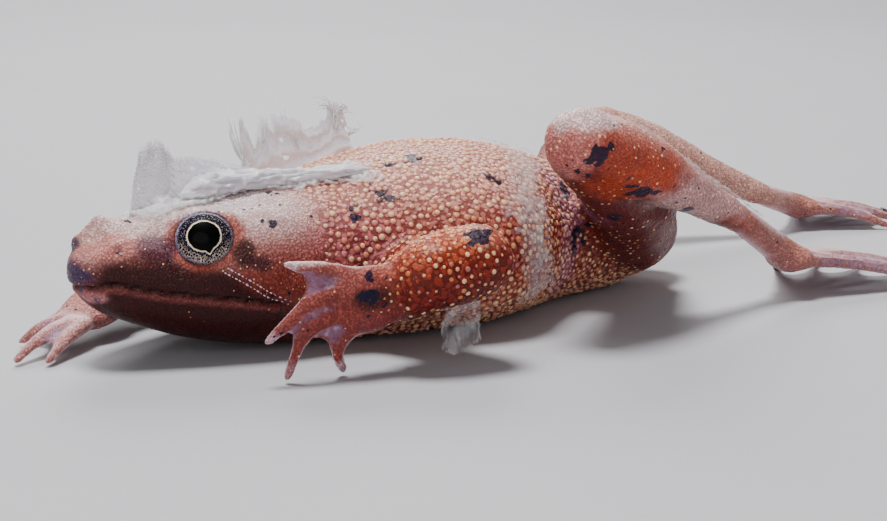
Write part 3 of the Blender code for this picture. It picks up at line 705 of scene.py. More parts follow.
@dataclass(frozen=True)
class SkinFinish:
    """Moist skin: its tint broken by pits, mottles, dark specks and spots."""

    pores: NodeTree
    coarse_pits: float = 3400.0
    small_pits: float = 7600.0
    pit_share: float = 0.9
    pit_share_fine: float = 0.55
    pit_tint: Colour = (150, 70, 84)
    mottles: float = 1100.0
    mottle_share: float = 0.55
    flecks: float = 5600.0
    fleck_share: float = 0.7
    fleck_share_fine: float = 0.45
    fleck_light: Place = (2.4, 2.0, 1.9)
    specks: float = 1500.0
    speck_groups: float = 420.0
    spot_share: float = 0.94
    veins: float = 2400.0
    vein_tint: Colour = (100, 40, 56)
    streaks: float = 3000.0
    streak_tint: Colour = (226, 206, 236)
    edge_sheen_tint: Colour = (240, 208, 214)
    edge_sheen_share: float = 0.72
    web_clearness: float = 0.3
    nostril_size: tuple[float, float] = (0.24, 0.06)
    nostril_shade_tint: Colour = (14, 2, 4)
    roughness: tuple[float, float] = (0.28, 0.62)
    specular: float = 0.2
    coat: float = 0.06
    coat_roughness: float = 0.12
    relief: float = 0.00007
    grain: float = 14000.0
    grain_relief: float = 0.00002

    def pitted(self, tree: Tree, place: object) -> tuple[object, object]:
        """The pits of the skin, finer on the head and the limbs.

        Args:
            tree: The material's tree.
            place: The place on the skin.

        Returns:
            A mask of the pits, and the skin's relief.
        """
        coarse, small = (tree.add("ShaderNodeGroup", node_tree=self.pores) for _ in range(2))
        for group, scale in ((coarse, self.coarse_pits), (small, self.small_pits)):
            tree.feed(group, Vector=place, Pits_per_metre=scale)
        fine = tree.attribute("fine")
        pits = tree.blend(fine, coarse.outputs["Pits"], small.outputs["Pits"])
        shallow = tree.times(small.outputs["Height"], 0.6)
        return pits, tree.blend(fine, coarse.outputs["Height"], shallow)

    def toned(self, tree: Tree, place: object, pits: object, solid: object) -> object:
        """The skin's own tint, broken by mottles, pits and pale flecks.

        Args:
            tree: The material's tree.
            place: The place on the skin.
            pits: The mask of the pits.
            solid: 0 on the webs, 1 elsewhere.

        Returns:
            The colour.
        """
        tint = tree.attribute("tint", "Color")
        mottle = tree.ramp(tree.noise(place, self.mottles, 4.0, 0.6), 0.4, 0.66)
        deep = tree.mix(0.4, tint, linear(*MAROON))
        colour = tree.mix(tree.times(mottle, self.mottle_share), tint, deep)
        dusky = tree.mix(0.85, colour, linear(*self.pit_tint), "MULTIPLY")
        share = tree.between(tree.attribute("fine"), self.pit_share, self.pit_share_fine)
        colour = tree.mix(tree.times(tree.times(pits, share), solid), colour, dusky)
        fleck = tree.ramp(tree.noise(place, self.flecks, 2.0, 0.6), 0.6, 0.7)
        share = tree.between(tree.attribute("fine"), self.fleck_share, self.fleck_share_fine)
        pale = tree.mix(1.0, tint, self.fleck_light, "MULTIPLY")
        return tree.mix(tree.times(fleck, share), colour, pale)

    def spotted(self, tree: Tree, place: object, colour: object, solid: object) -> object:
        """The colour with its blue-black spots and specks, ragged at their edges.

        Args:
            tree: The material's tree.
            place: The place on the skin.
            colour: The colour so far.
            solid: 0 on the webs, 1 elsewhere.

        Returns:
            The new colour.
        """
        speck = tree.ramp(tree.cells(place, self.specks), 0.15, 0.10)
        some = tree.ramp(tree.noise(place, self.speck_groups, 2.0), 0.5, 0.6)
        speck = tree.times(tree.times(speck, some), solid)
        dark = tree.math("MAXIMUM", tree.attribute("spot"), speck)
        ragged = tree.math("SUBTRACT", dark, tree.noise(place, 6000.0, 3.0))
        dark = tree.ramp(ragged, -0.15, 0.1)
        return tree.mix(tree.times(dark, self.spot_share), colour, linear(*SPOT_COLOUR))

    def nostrils(self, tree: Tree, place: object, colour: object) -> object:
        """The colour with the fine slit of each nostril, sloping down and back, painted dark as the shade
        inside it.

        Args:
            tree: The material's tree.
            place: The place on the skin.
            colour: The colour so far.

        Returns:
            The new colour.
        """
        long, wide = self.nostril_size
        x, y, z = NOSTRIL
        for side in Side:
            offset = tree.add("ShaderNodeVectorMath", operation="SUBTRACT")
            tree.link(place, offset.inputs[0])
            offset.inputs[1].default_value = at(x, y * side.value, z)
            squares = []
            for way, reach in (((0.8, 0, -0.6), long), ((0.6, 0, 0.8), wide), ((0, 1, 0), 0.5)):
                share = tree.add("ShaderNodeVectorMath", operation="DOT_PRODUCT")
                tree.link(offset.outputs[0], share.inputs[0])
                share.inputs[1].default_value = Vector(way) / (reach * MM)
                squares.append(tree.math("POWER", share.outputs["Value"], 2.0))
            total = tree.math("ADD", squares[0], tree.math("ADD", squares[1], squares[2]))
            # Painted shade: the dark inside of each nostril slit.
            colour = tree.mix(tree.ramp(total, 1.0, 0.3), colour, linear(*self.nostril_shade_tint))
        return colour

    def webbed(self, tree: Tree, place: object, colour: object, web: object) -> object:
        """The colour with the veins and pale streaks of the webs, and a painted sheen that pales the
        digits and webs where they are seen edge-on.

        Args:
            tree: The material's tree.
            place: The place on the skin.
            colour: The colour so far.
            web: 1 on the webs.

        Returns:
            The new colour.
        """
        vein = tree.cells(place, self.veins, "DISTANCE_TO_EDGE")
        vein = tree.times(tree.ramp(vein, 0.05, 0.0), web)
        streak = tree.times(tree.ramp(tree.noise(place, self.streaks, 4.0), 0.5, 0.7), web)
        colour = tree.mix(tree.times(vein, 0.5), colour, linear(*self.vein_tint))
        colour = tree.mix(tree.times(streak, 0.5), colour, linear(*self.streak_tint))
        # Painted sheen: digits and webs turn pale where they are seen edge-on.
        facing = tree.add("ShaderNodeLayerWeight").outputs["Facing"]
        clear = tree.math("MAXIMUM", tree.attribute("digit"), web)
        clear = tree.times(tree.ramp(facing, 0.35, 0.95), clear)
        return tree.mix(tree.times(clear, self.edge_sheen_share), colour, linear(*self.edge_sheen_tint))

    def material(self) -> Material:
        """Makes the finish."""
        material, tree, shader = new_material("frog skin")
        place = tree.place()
        web = tree.attribute("web")
        solid = tree.math("SUBTRACT", 1.0, web)
        pits, height = self.pitted(tree, place)
        colour = self.toned(tree, place, pits, solid)
        colour = self.spotted(tree, place, colour, solid)
        colour = self.nostrils(tree, place, colour)
        colour = self.webbed(tree, place, colour, web)
        tree.feed(shader, Base_Color=colour)
        gloss = tree.between(tree.noise(place, 2600.0, 3.0), *self.roughness)
        tree.feed(shader, Roughness=gloss)
        alpha = tree.math("ADD", tree.times(web, -self.web_clearness), 1.0)
        tree.feed(
            shader, Alpha=alpha, Specular_IOR_Level=self.specular, Coat_Weight=self.coat,
            Coat_Roughness=self.coat_roughness,
        )
        relief = tree.bump(height, self.relief, 0.9)
        grain = tree.noise(place, self.grain, 2.0)
        tree.feed(shader, Normal=tree.bump(grain, self.grain_relief, 0.5, relief))
        return material


@dataclass
class Skin:
    """The one skin over all the frog's flesh, with its lips, nostrils, lids and colours.

    Lengths are in millimetres, and points are counted from the snout tip.
    """

    eyes: "list[Eye]"
    first_grain: float = 0.12
    grown_grain: float = 0.14
    grain: float = 0.176
    closing: float = 0.2
    smoothing: int = 5
    depth_of_colour: float = 1.15
    colour_blend: int = 90
    cover_blend: int = 40
    web_thickness: float = 1.0
    web_thinning: float = 0.14
    lip_depth: float = 0.3
    lip_width: float = 0.13
    lip_swell: float = 0.07
    mouth_end: tuple[float, float] = (8.6, 7.6)
    nostril: Place = NOSTRIL
    nostril_reach: Place = (0.26, 0.26, 0.16)
    nostril_depth: float = 0.2
    mesh: Mesh = field(init=False)
    points: np.ndarray = field(init=False)
    normals: np.ndarray = field(init=False)
    edges: np.ndarray = field(init=False)
    parts: np.ndarray = field(init=False)
    digit: np.ndarray = field(init=False)
    web: np.ndarray = field(init=False)
    mouth: np.ndarray = field(init=False)
    lip: np.ndarray = field(init=False)
    nose: np.ndarray = field(init=False)
    low: np.ndarray = field(init=False)

    def flesh(self) -> Mesh:
        """All the pieces of flesh in one mesh, in millimetres from the snout tip."""
        shape = bmesh.new()
        for name in FLESH:
            shape.from_mesh(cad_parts[name].data)
        bmesh.ops.remove_doubles(shape, verts=shape.verts, dist=0.0002 * MM)
        for eye in self.eyes:
            eye.add_lid(shape)
        shape.transform(Matrix.Scale(1 / MM, 4) @ Matrix.Translation(-SNOUT_TIP))
        return mesh_from("flesh", shape)

    def remeshed(self, thing: Object, grain: float) -> Mesh:
        """Draws one skin over an object's mesh, in squares of that size."""
        modifier = thing.modifiers.new("Skin", "REMESH")
        modifier.mode = "VOXEL"
        modifier.voxel_size = grain
        return evaluated(thing)

    def closed_skin(self) -> Object:
        """Draws the skin over the flesh and closes the narrow gaps between its pieces."""
        thing = new_object("skin", self.flesh())
        mesh = self.remeshed(thing, self.first_grain)
        set_points(mesh, points_of(mesh) + normals_of(mesh) * self.closing)
        mesh = self.remeshed(thing, self.grown_grain)
        smooth = spread(points_of(mesh), edges_of(mesh), 1)
        set_points(mesh, smooth)
        set_points(mesh, points_of(mesh) - normals_of(mesh) * self.closing)
        self.remeshed(thing, self.grain)
        return thing

    def label(self, points: np.ndarray) -> tuple[np.ndarray, np.ndarray]:
        """Finds the piece of flesh that each point of the skin lies on.

        Args:
            points: Places in millimetres from the snout tip.

        Returns:
            The index of the nearest piece in FLESH, and how thick the flesh is there.
        """
        solids = [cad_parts[name] for name in FLESH]
        owner = [index for index, solid in enumerate(solids) for _ in solid.data.polygons]
        surface = surface_of(solids)
        parts = np.zeros(len(points), int)
        depth = np.full(len(points), FAR)
        digits = {k for k, name in enumerate(FLESH) if name.endswith(("hand", "foot"))}
        for k, point in enumerate(points):
            place, normal, face, _ = surface.find_nearest(Vector(point))
            parts[k] = owner[face]
            if parts[k] in digits:
                hit = surface.ray_cast(place - normal * JUST_INSIDE, -normal)
                depth[k] = hit[3] if hit[0] is not None else FAR
        return parts, depth

    def mouth_distance(self, points: np.ndarray) -> np.ndarray:
        """How far each point lies from the line of the mouth.

        Args:
            points: The skin's points, in millimetres from the snout tip.

        Returns:
            A distance for each point, below 0 on the upper lip.
        """
        head, jaw = (surface_of([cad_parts[name]]) for name in ("head", "lower_jaw"))
        result = np.full(len(points), FAR)
        near = np.flatnonzero((points[:, 0] < 8.8) & (points[:, 2] > 2.0) & (points[:, 2] < 4.6))
        for k in near:
            place = Vector(points[k])
            upper = head.find_nearest(place)[3]
            lower = jaw.find_nearest(place)[3]
            if min(upper, lower) < 0.5:
                result[k] = upper - lower
        return result

    def sculpt(self) -> None:
        """Smooths the skin, thins the webs and shapes the lips and nostrils."""
        mesh = self.mesh
        edges = edges_of(mesh)
        points = spread(points_of(mesh), edges, self.smoothing)
        set_points(mesh, points)
        normals = normals_of(mesh)
        parts, depth = self.label(points)
        self.parts = parts
        self.digit = self.digit_share(points)
        thin = (depth < self.web_thickness) * (1 - self.digit)
        self.web = np.clip(spread(thin, edges, 2) * 1.3 - 0.15, 0, 1)
        move = -self.web_thinning * smoothstep(0.35, 0.95, self.web)
        for bump in BUMPS:
            for place in sides_of(bump.place, bump.both_sides):
                away = (points - np.array(place)) / np.array(bump.reach)
                move += bump.height * np.exp(-(away**2).sum(axis=1))
        mouth = self.mouth_distance(points)
        back = smoothstep(*self.mouth_end, points[:, 0])
        self.mouth = np.exp(-((mouth / self.lip_width) ** 2)) * back
        move -= self.lip_depth * self.mouth
        self.lip = np.exp(-(((mouth - 0.36) / 0.14) ** 2)) * back
        swell = np.exp(-(((np.abs(mouth) - 0.32) / 0.17) ** 2)) * back
        move += self.lip_swell * swell
        self.nose = np.zeros(len(points))
        for side in Side:
            x, y, z = self.nostril
            away = np.linalg.norm(points - np.array([x, y * side.value, z]), axis=1)
            away = (points - points[np.argmin(away)]) / np.array(self.nostril_reach)
            self.nose += np.exp(-(away**2).sum(axis=1))
        move -= self.nostril_depth * self.nose
        body = self.share_of("torso", "thigh", "shank", "arm", "forearm", "head")
        body = spread(body, edges, 6)
        lumps = noise_over(points, 1.5, 1.0) * 0.07 + noise_over(points, 0.6, 2.0) * 0.03
        move += lumps * body * (1 - self.web)
        points = points + normals * move[:, None]
        points[:, 2] = np.maximum(points[:, 2], 0.0)
        set_points(mesh, points)
        self.points = points
        self.normals = normals_of(mesh)
        self.edges = edges

    def digit_share(self, points: np.ndarray) -> np.ndarray:
        """Tells the fingers and toes from the webs between them.

        Args:
            points: The skin's points, in millimetres from the snout tip.

        Returns:
            1 for each point on a finger or toe, 0 on the webs and elsewhere.
        """
        result = np.zeros(len(points))
        steps = np.linspace(0.0, 1.0, 25)
        for digits in DIGITS:
            here = np.flatnonzero(self.parts == FLESH.index(digits.node))
            local = points[here]
            nearest = np.full(len(here), FAR)
            for line in digits.lines:
                places = [Vector(place) for place in line]
                way = np.array([spline(places, u) for u in steps])
                radii = np.interp(steps, (0.0, 0.5, 1.0), digits.radii)
                away = np.linalg.norm(local[:, None, :] - way[None, :, :], axis=2)
                share = smoothstep(1.22, 1.02, (away / radii).min(axis=1))
                result[here] = np.maximum(result[here], share)
                nearest = np.minimum(nearest, away.min(axis=1))
            result[here] = np.maximum(result[here], smoothstep(1.8, 2.4, nearest))
        return result

    def share_of(self, *endings: str) -> np.ndarray:
        """1 at the points on pieces whose names end in one of the words, else 0."""
        wanted = [k for k, name in enumerate(FLESH) if name.endswith(endings)]
        return np.isin(self.parts, wanted).astype(float)

    def paint(self) -> None:
        """Works out the colour and the cover of warts at each point."""
        count = len(self.points)
        tint = np.zeros((count, 3))
        cover = np.zeros(count)
        size = np.zeros(count)
        up = self.normals[:, 2]
        # Up-facing skin takes the top colour and down-facing skin the under colour, partly painted light
        # and shade.
        top = smoothstep(0.35, 0.97, up)[:, None]
        under = smoothstep(-0.2, -0.8, up)[:, None]
        for index, name in enumerate(FLESH):
            key = name.removeprefix("left_").removeprefix("right_")
            hide = HIDES[key]
            here = self.parts == index
            side = np.array(linear(*hide.side))
            colour = side + (np.array(linear(*hide.top)) - side) * top[here]
            colour += (np.array(linear(*hide.under)) - colour) * under[here]
            tint[here] = colour
            cover[here] = hide.warts
            size[here] = hide.wart_size
        tint = spread(tint, self.edges, self.colour_blend)
        cover = spread(cover, self.edges, self.cover_blend)
        size = spread(size, self.edges, self.cover_blend)
        wobble = noise_over(self.points, 0.7, 3.0) * 0.25
        tint = self.shade_head(tint, wobble) ** self.depth_of_colour
        for wash in WASHES:
            for place in sides_of(wash.place, wash.both_sides):
                tint = self.laid(tint, wash, place, wobble)
        web = smoothstep(0.3, 0.9, self.web)[:, None]
        tint += (np.array(linear(*WEB_COLOUR)) - tint) * web * 0.8
        spot = np.zeros(count)
        blotch = noise_over(self.points, 0.42, 7.0) * 1.1
        for place, reach in SPOTS:
            away = np.linalg.norm(self.points - np.array(place), axis=1) / reach
            spot = np.maximum(spot, smoothstep(1.2, 0.8, away + blotch * away))
        # Mask of painted shade in the groove of the mouth and in the nostril pits.
        dark = np.clip(self.mouth * 1.2 + self.nose * 0.5, 0, 1)[:, None]
        tint += (np.array(linear(*LIP_COLOUR)) - tint) * (self.lip * 0.55)[:, None]
        tint += (np.array(linear(*GROOVE_SHADE_COLOUR)) - tint) * dark
        floor = smoothstep(0.12, 0.4, self.points[:, 2])
        cover *= (1 - self.web) * (1 - dark[:, 0]) * floor * (1 - spot * 0.6)
        cover *= 1 - 0.85 * self.low
        cover *= self.lid_clearance(1.28, 1.42)
        fine = self.share_of("head", "lower_jaw", "hand", "foot", "shank", "thigh")
        fine = spread(fine, self.edges, 16)
        store(self.mesh, "tint", tint)
        store(self.mesh, "spot", spot)
        store(self.mesh, "web", self.web)
        store(self.mesh, "fine", fine)
        store(self.mesh, "digit", spread(self.digit, self.edges, 2))
        store(self.mesh, "cover", np.clip(cover, 0, 1))
        store(self.mesh, "wart_size", size)
        store(self.mesh, "unwrap", self.unwrap())

    def shade_head(self, tint: np.ndarray, wobble: np.ndarray) -> np.ndarray:
        """Darkens the cheeks and lips below the level of the eyes, with their own dark colour and painted
        shade.
        """
        x, z = self.points[:, 0], self.points[:, 2]
        head = spread(self.share_of("head", "lower_jaw"), self.edges, 6)
        level = np.interp(x, *zip(*CHEEK_LINE))
        low = smoothstep(0.45, -0.55, z - level + wobble * 1.2) * head
        low *= smoothstep(0.0, 0.9, x)
        self.low = low
        # Painted shade over the cheeks' own dark colour.
        tint = tint + (np.array(linear(*CHEEK_TONE_AND_SHADE)) - tint) * (low * 0.94)[:, None]
        lid = 1 - self.lid_clearance(1.24, 1.46)
        return tint + (np.array(linear(*LID_COLOUR)) - tint) * (lid * 0.6)[:, None]

    def laid(self, tint: np.ndarray, wash: Wash, place: Place, wobble: np.ndarray) -> np.ndarray:
        """Lays one wash of colour over the tint.

        Args:
            tint: The colour at each point.
            wash: The wash.
            place: The middle of the wash, on one side of the frog.
            wobble: How far the wash's edge strays at each point.

        Returns:
            The new colours.
        """
        away = (self.points - np.array(place)) / np.array(wash.reach)
        away = np.linalg.norm(away, axis=1) + wobble
        share = smoothstep(1 + wash.edge / 2, 1 - wash.edge / 2, away) * wash.strength
        return tint + (np.array(linear(*wash.colour)) - tint) * share[:, None]

    def lid_clearance(self, near: float, far: float) -> np.ndarray:
        """0 nearer to an eye than the first number, 1 further off than the second."""
        clear = np.ones(len(self.points))
        for eye in self.eyes:
            clear = np.minimum(clear, smoothstep(near, far, eye.levels_of(self.points)))
        return clear

    def unwrap(self) -> np.ndarray:
        """A flat layout of the skin: length along each piece and angle around it."""
        layout = np.zeros((len(self.points), 2))
        for index in range(len(FLESH)):
            here = self.parts == index
            points = self.points[here]
            middle = points.mean(axis=0)
            spans = np.linalg.svd(points[::7] - middle, full_matrices=False)[2]
            local = (points - middle) @ spans.T
            along = (local[:, 0] - local[:, 0].min()) / np.ptp(local[:, 0])
            around = np.arctan2(local[:, 2], local[:, 1]) / (2 * np.pi) + 0.5
            column, row = index % 4, index // 4
            layout[here, 0] = (column + 0.05 + 0.9 * along) / 4
            layout[here, 1] = (row + 0.05 + 0.9 * around) / 4
        return layout

    def build(self, pores: NodeTree) -> Object:
        """Makes the skin and puts it in the frame."""
        thing = self.closed_skin()
        self.mesh = thing.data
        self.sculpt()
        self.paint()
        self.mesh.transform(Matrix.Translation(SNOUT_TIP) @ Matrix.Scale(MM, 4))
        return settle(thing, SkinFinish(pores).material(), "back skin", *FLESH)


def skin_surface(skin: Skin) -> BVHTree:
    """The finished skin as a surface to lay pieces on, in millimetres."""
    faces = [tuple(polygon.vertices) for polygon in skin.mesh.polygons]
    return BVHTree.FromPolygons([Vector(point) for point in skin.points], faces)


def drop_scraps(shape: BMesh, fewest: int) -> None:
    """Deletes the scraps of a mesh that are joined to nothing.

    Args:
        shape: The mesh.
        fewest: The number of vertices that a part needs to stay.
    """
    shape.verts.index_update()
    seen: set[int] = set()
    scraps: list[BMVert] = []
    for first in shape.verts:
        if first.index in seen:
            continue
        seen.add(first.index)
        part = [first]
        for vertex in part:
            for edge in vertex.link_edges:
                other = edge.other_vert(vertex)
                if other.index not in seen:
                    seen.add(other.index)
                    part.append(other)
        if len(part) < fewest:
            scraps += part
    bmesh.ops.delete(shape, geom=scraps, context="VERTS")


@dataclass
class Stitches:
    """The double row of pale, stitch-like marks from under each eye to the jaw's angle."""

    skin: Skin
    path: tuple[Place, ...] = (
        (5.6, 3.7, 4.4), (6.2, 4.0, 4.0), (6.85, 4.25, 3.55), (7.5, 4.4, 3.1), (8.5, 4.6, 2.6),
    )
    pairs: int = 17
    row_gap: float = 0.24
    size: Place = (0.075, 0.036, 0.025)
    tint: Colour = (232, 206, 224)
    tone: float = 1.0

    def tree(self, material: Material) -> NodeTree:
        """The tree that sets a small, flat bead on each point.

        Args:
            material: The finish of the marks.

        Returns:
            A tree with the inputs Segments and Rings.
        """
        kinds = {"Segments": "NodeSocketInt", "Rings": "NodeSocketInt"}
        group, tree, entry = geometry_tree("Stitch marks", kinds)
        bead = tree.add("GeometryNodeMeshUVSphere")
        tree.feed(bead, Segments=entry["Segments"], Rings=entry["Rings"])
        turn = tree.add("FunctionNodeEulerToRotation")
        tree.link(tree.named("turn", "FLOAT_VECTOR"), turn.inputs[0])
        stand = tree.add("GeometryNodeInstanceOnPoints")
        tree.feed(
            stand, Points=entry["Geometry"], Instance=bead.outputs["Mesh"],
            Rotation=turn.outputs[0], Scale=tree.named("reach", "FLOAT_VECTOR"),
        )
        tree.close(stand.outputs["Instances"], material)
        return group

    def build(self, material: Material) -> Object:
        """Makes the marks of both sides as one piece.

        Args:
            material: Their finish.

        Returns:
            The marks as a piece.
        """
        surface = skin_surface(self.skin)
        places, turns, reaches = [], [], []
        for side in Side:
            line = [Vector((x, y * side.value, z)) for x, y, z in self.path]
            for k in range(self.pairs):
                share = (k + 0.5) / self.pairs
                along = spline(line, share + PATH_STEP) - spline(line, share - PATH_STEP)
                along.normalize()
                for row in (-0.5, 0.5):
                    level = Vector((0.6, 0.0, 0.8)) * self.row_gap * row
                    spot, normal, _, _ = surface.find_nearest(spline(line, share) + level)
                    across = normal.cross(along).normalized()
                    turn = Matrix((across.cross(normal), across, normal)).transposed()
                    places.append(SNOUT_TIP + spot * MM)
                    turns.append(turn.to_euler())
                    reaches.append(Vector(self.size) * MM * (0.8 + 0.3 * math.sin(k * 2.3)))
        mesh = bpy.data.meshes.new("stitches")
        mesh.from_pydata(places, [], [])
        for name, rows in (("turn", turns), ("reach", reaches), ("local", [(0, 0, 1)] * len(turns))):
            made = mesh.attributes.new(name, "FLOAT_VECTOR", "POINT")
            made.data.foreach_set("vector", np.array(rows, np.float32).ravel())
        store(mesh, "tint", np.array([linear(*self.tint)] * len(places)))
        store(mesh, "tone", np.full(len(places), self.tone))
        thing = new_object("cheek_stitches", mesh)
        grown(thing, self.tree(material), Segments=10, Rings=6)
        return settle(thing, None, "back skin")


@dataclass(frozen=True)
class WartPatch:
    """A stretch of skin whose warts are one piece: names of the flesh, and a half."""

    name: str
    parts: tuple[str, ...]
    side: Side | None = None
    spacing: float = 0.31
    width: float = 0.30


@dataclass(frozen=True)
class WartFinish:
    """Round, moist warts, cream to orange, in the tint of the skin around them, with pale tops that are
    partly a painted highlight.
    """

    cream: Colour = (255, 214, 160)
    orange: Colour = (244, 160, 92)
    pink: Colour = (244, 190, 190)
    spot_tint: Colour = (34, 32, 56)
    spot_share: float = 0.9
    mottles: float = 9000.0
    mottle_share: float = 0.4
    specular: float = 0.25
    coat: float = 0.12
    coat_roughness: float = 0.12
    grain: float = 20000.0
    relief: float = 0.00002

    def material(self) -> Material:
        """Makes the finish."""
        material, tree, shader = new_material("wart skin")
        tint = tree.attribute("tint", "Color")
        tone = tree.attribute("tone")
        light = tree.mix(tree.ramp(tone, 0.3, 0.75), linear(*self.cream), linear(*self.orange))
        light = tree.mix(tree.ramp(tone, 0.8, 0.95), light, linear(*self.pink))
        light = tree.mix(tree.ramp(tone, -0.2, 1.6), light, tint)
        parts = tree.add("ShaderNodeSeparateXYZ")
        tree.link(tree.attribute("local", "Vector"), parts.inputs[0])
        # Pale tops over bases in the skin's tint: the warts' own pale tips, partly a painted highlight.
        light = tree.mix(tree.ramp(parts.outputs["Z"], 0.15, 0.75), tint, light)
        place = tree.place()
        mottle = tree.ramp(tree.noise(place, self.mottles, 2.0), 0.4, 0.7)
        colour = tree.mix(tree.times(mottle, self.mottle_share), light, tint)
        spot = tree.times(tree.attribute("spot"), self.spot_share)
        colour = tree.mix(spot, colour, linear(*self.spot_tint))
        tree.feed(
            shader, Base_Color=colour, Roughness=tree.ramp(mottle, -0.6, 2.2),
            Specular_IOR_Level=self.specular, Coat_Weight=self.coat, Coat_Roughness=self.coat_roughness,
        )
        grain = tree.noise(place, self.grain, 2.0)
        tree.feed(shader, Normal=tree.bump(grain, self.relief, 0.4))
        return material


@dataclass
class Warts:
    """The round warts that stand on the skin."""

    skin: Skin
    patches: tuple[WartPatch, ...] = (
        WartPatch("warts_left_flank", ("torso",), Side.LEFT),
        WartPatch("warts_right_flank", ("torso",), Side.RIGHT),
        WartPatch("warts_head", ("head", "lower_jaw"), None, 0.26, 0.2),
        WartPatch("warts_left_arm", ("left_upper_arm", "left_forearm", "left_hand")),
        WartPatch("warts_right_arm", ("right_upper_arm", "right_forearm", "right_hand")),
        WartPatch("warts_left_leg", ("left_thigh", "left_shank", "left_foot")),
        WartPatch("warts_right_leg", ("right_thigh", "right_shank", "right_foot")),
    )
    segments: int = 7
    rings: int = 4
    flatness: float = 0.5
    smallest: float = 0.55
    largest: float = 1.2
    patch_size: float = 0.0015
    seed: int = 5

    def tree(self, material: Material) -> NodeTree:
        """The tree that scatters warts over a stretch of skin.

        Args:
            material: The finish of the warts.

        Returns:
            A tree with the inputs Spacing, Width and Seed.
        """
        kinds = {"Spacing": "NodeSocketFloat", "Width": "NodeSocketFloat", "Seed": "NodeSocketInt"}
        group, tree, entry = geometry_tree("Warts", kinds)
        scatter = tree.add("GeometryNodeDistributePointsOnFaces", distribute_method="POISSON")
        tree.feed(
            scatter, Mesh=entry["Geometry"], Distance_Min=entry["Spacing"],
            Density_Max=40.0 / (MM * MM), Density_Factor=tree.named("cover"), Seed=entry["Seed"],
        )
        ball = tree.add("GeometryNodeMeshUVSphere")
        tree.feed(ball, Segments=self.segments, Rings=self.rings, Radius=1.0)
        position = tree.add("GeometryNodeInputPosition").outputs[0]
        wart = tree.keep(ball.outputs["Mesh"], "local", position, "FLOAT_VECTOR", "POINT")
        stand = tree.add("GeometryNodeInstanceOnPoints")
        tree.feed(
            stand, Points=scatter.outputs["Points"], Instance=wart,
            Rotation=scatter.outputs["Rotation"], Scale=self.wart_size(tree, entry["Width"]),
        )
        tone = tree.add("FunctionNodeRandomValue", data_type="FLOAT")
        tree.feed(tone, Seed=self.seed + 1)
        warts = tree.keep(stand.outputs["Instances"], "tone", tone.outputs[1], "FLOAT", "INSTANCE")
        layout = tree.add("ShaderNodeVectorMath", operation="MULTIPLY_ADD")
        tree.link(tree.named("local", "FLOAT_VECTOR"), layout.inputs[0])
        layout.inputs[1].default_value = (self.patch_size, self.patch_size, 0.0)
        tree.link(tree.named("unwrap", "FLOAT_VECTOR"), layout.inputs[2])
        real = tree.realized(warts)
        mapped = tree.keep(real, "OFBake", layout.outputs[0], "FLOAT2", "CORNER")
        tree.close(mapped, material)
        return group

    def wart_size(self, tree: Tree, width: object) -> object:
        """The size of each wart, by chance and by the skin that it stands on.

        Args:
            tree: The tree that scatters the warts.
            width: How wide a wart of middle size is.

        Returns:
            The half lengths of the wart.
        """
        chance = tree.add("FunctionNodeRandomValue", data_type="FLOAT")
        chance.inputs[2].default_value = self.smallest
        chance.inputs[3].default_value = self.largest
        tree.feed(chance, Seed=self.seed)
        radius = tree.times(tree.times(width, chance.outputs[1]), tree.named("wart_size"))
        radius = tree.times(radius, 0.5)
        size = tree.add("ShaderNodeCombineXYZ")
        tree.feed(size, X=radius, Y=radius, Z=tree.times(radius, self.flatness))
        return size.outputs[0]

    def ground(self, patch: WartPatch) -> Object:
        """A copy of the stretch of skin that one piece of warts stands on."""
        shape = bmesh.new()
        shape.from_mesh(self.skin.mesh)
        shape.faces.ensure_lookup_table()
        wanted = np.isin(self.skin.parts, [FLESH.index(name) for name in patch.parts])
        if patch.side is not None:
            beside = self.skin.points[:, 1] * patch.side.value >= 0
            wanted &= beside
        drop = [f for f in shape.faces if not wanted[f.verts[0].index]]
        bmesh.ops.delete(shape, geom=drop, context="FACES")
        return new_object(patch.name, mesh_from(patch.name, shape))

    def build(self) -> list[Object]:
        """Grows the warts of every patch."""
        material = WartFinish().material()
        Stitches(self.skin).build(material)
        tree = self.tree(material)
        made = []
        for index, patch in enumerate(self.patches):
            thing = self.ground(patch)
            spacing, width = patch.spacing * MM, patch.width * MM
            grown(thing, tree, Spacing=spacing, Width=width, Seed=self.seed + index)
            made.append(settle(thing, None, "back skin"))
        return made


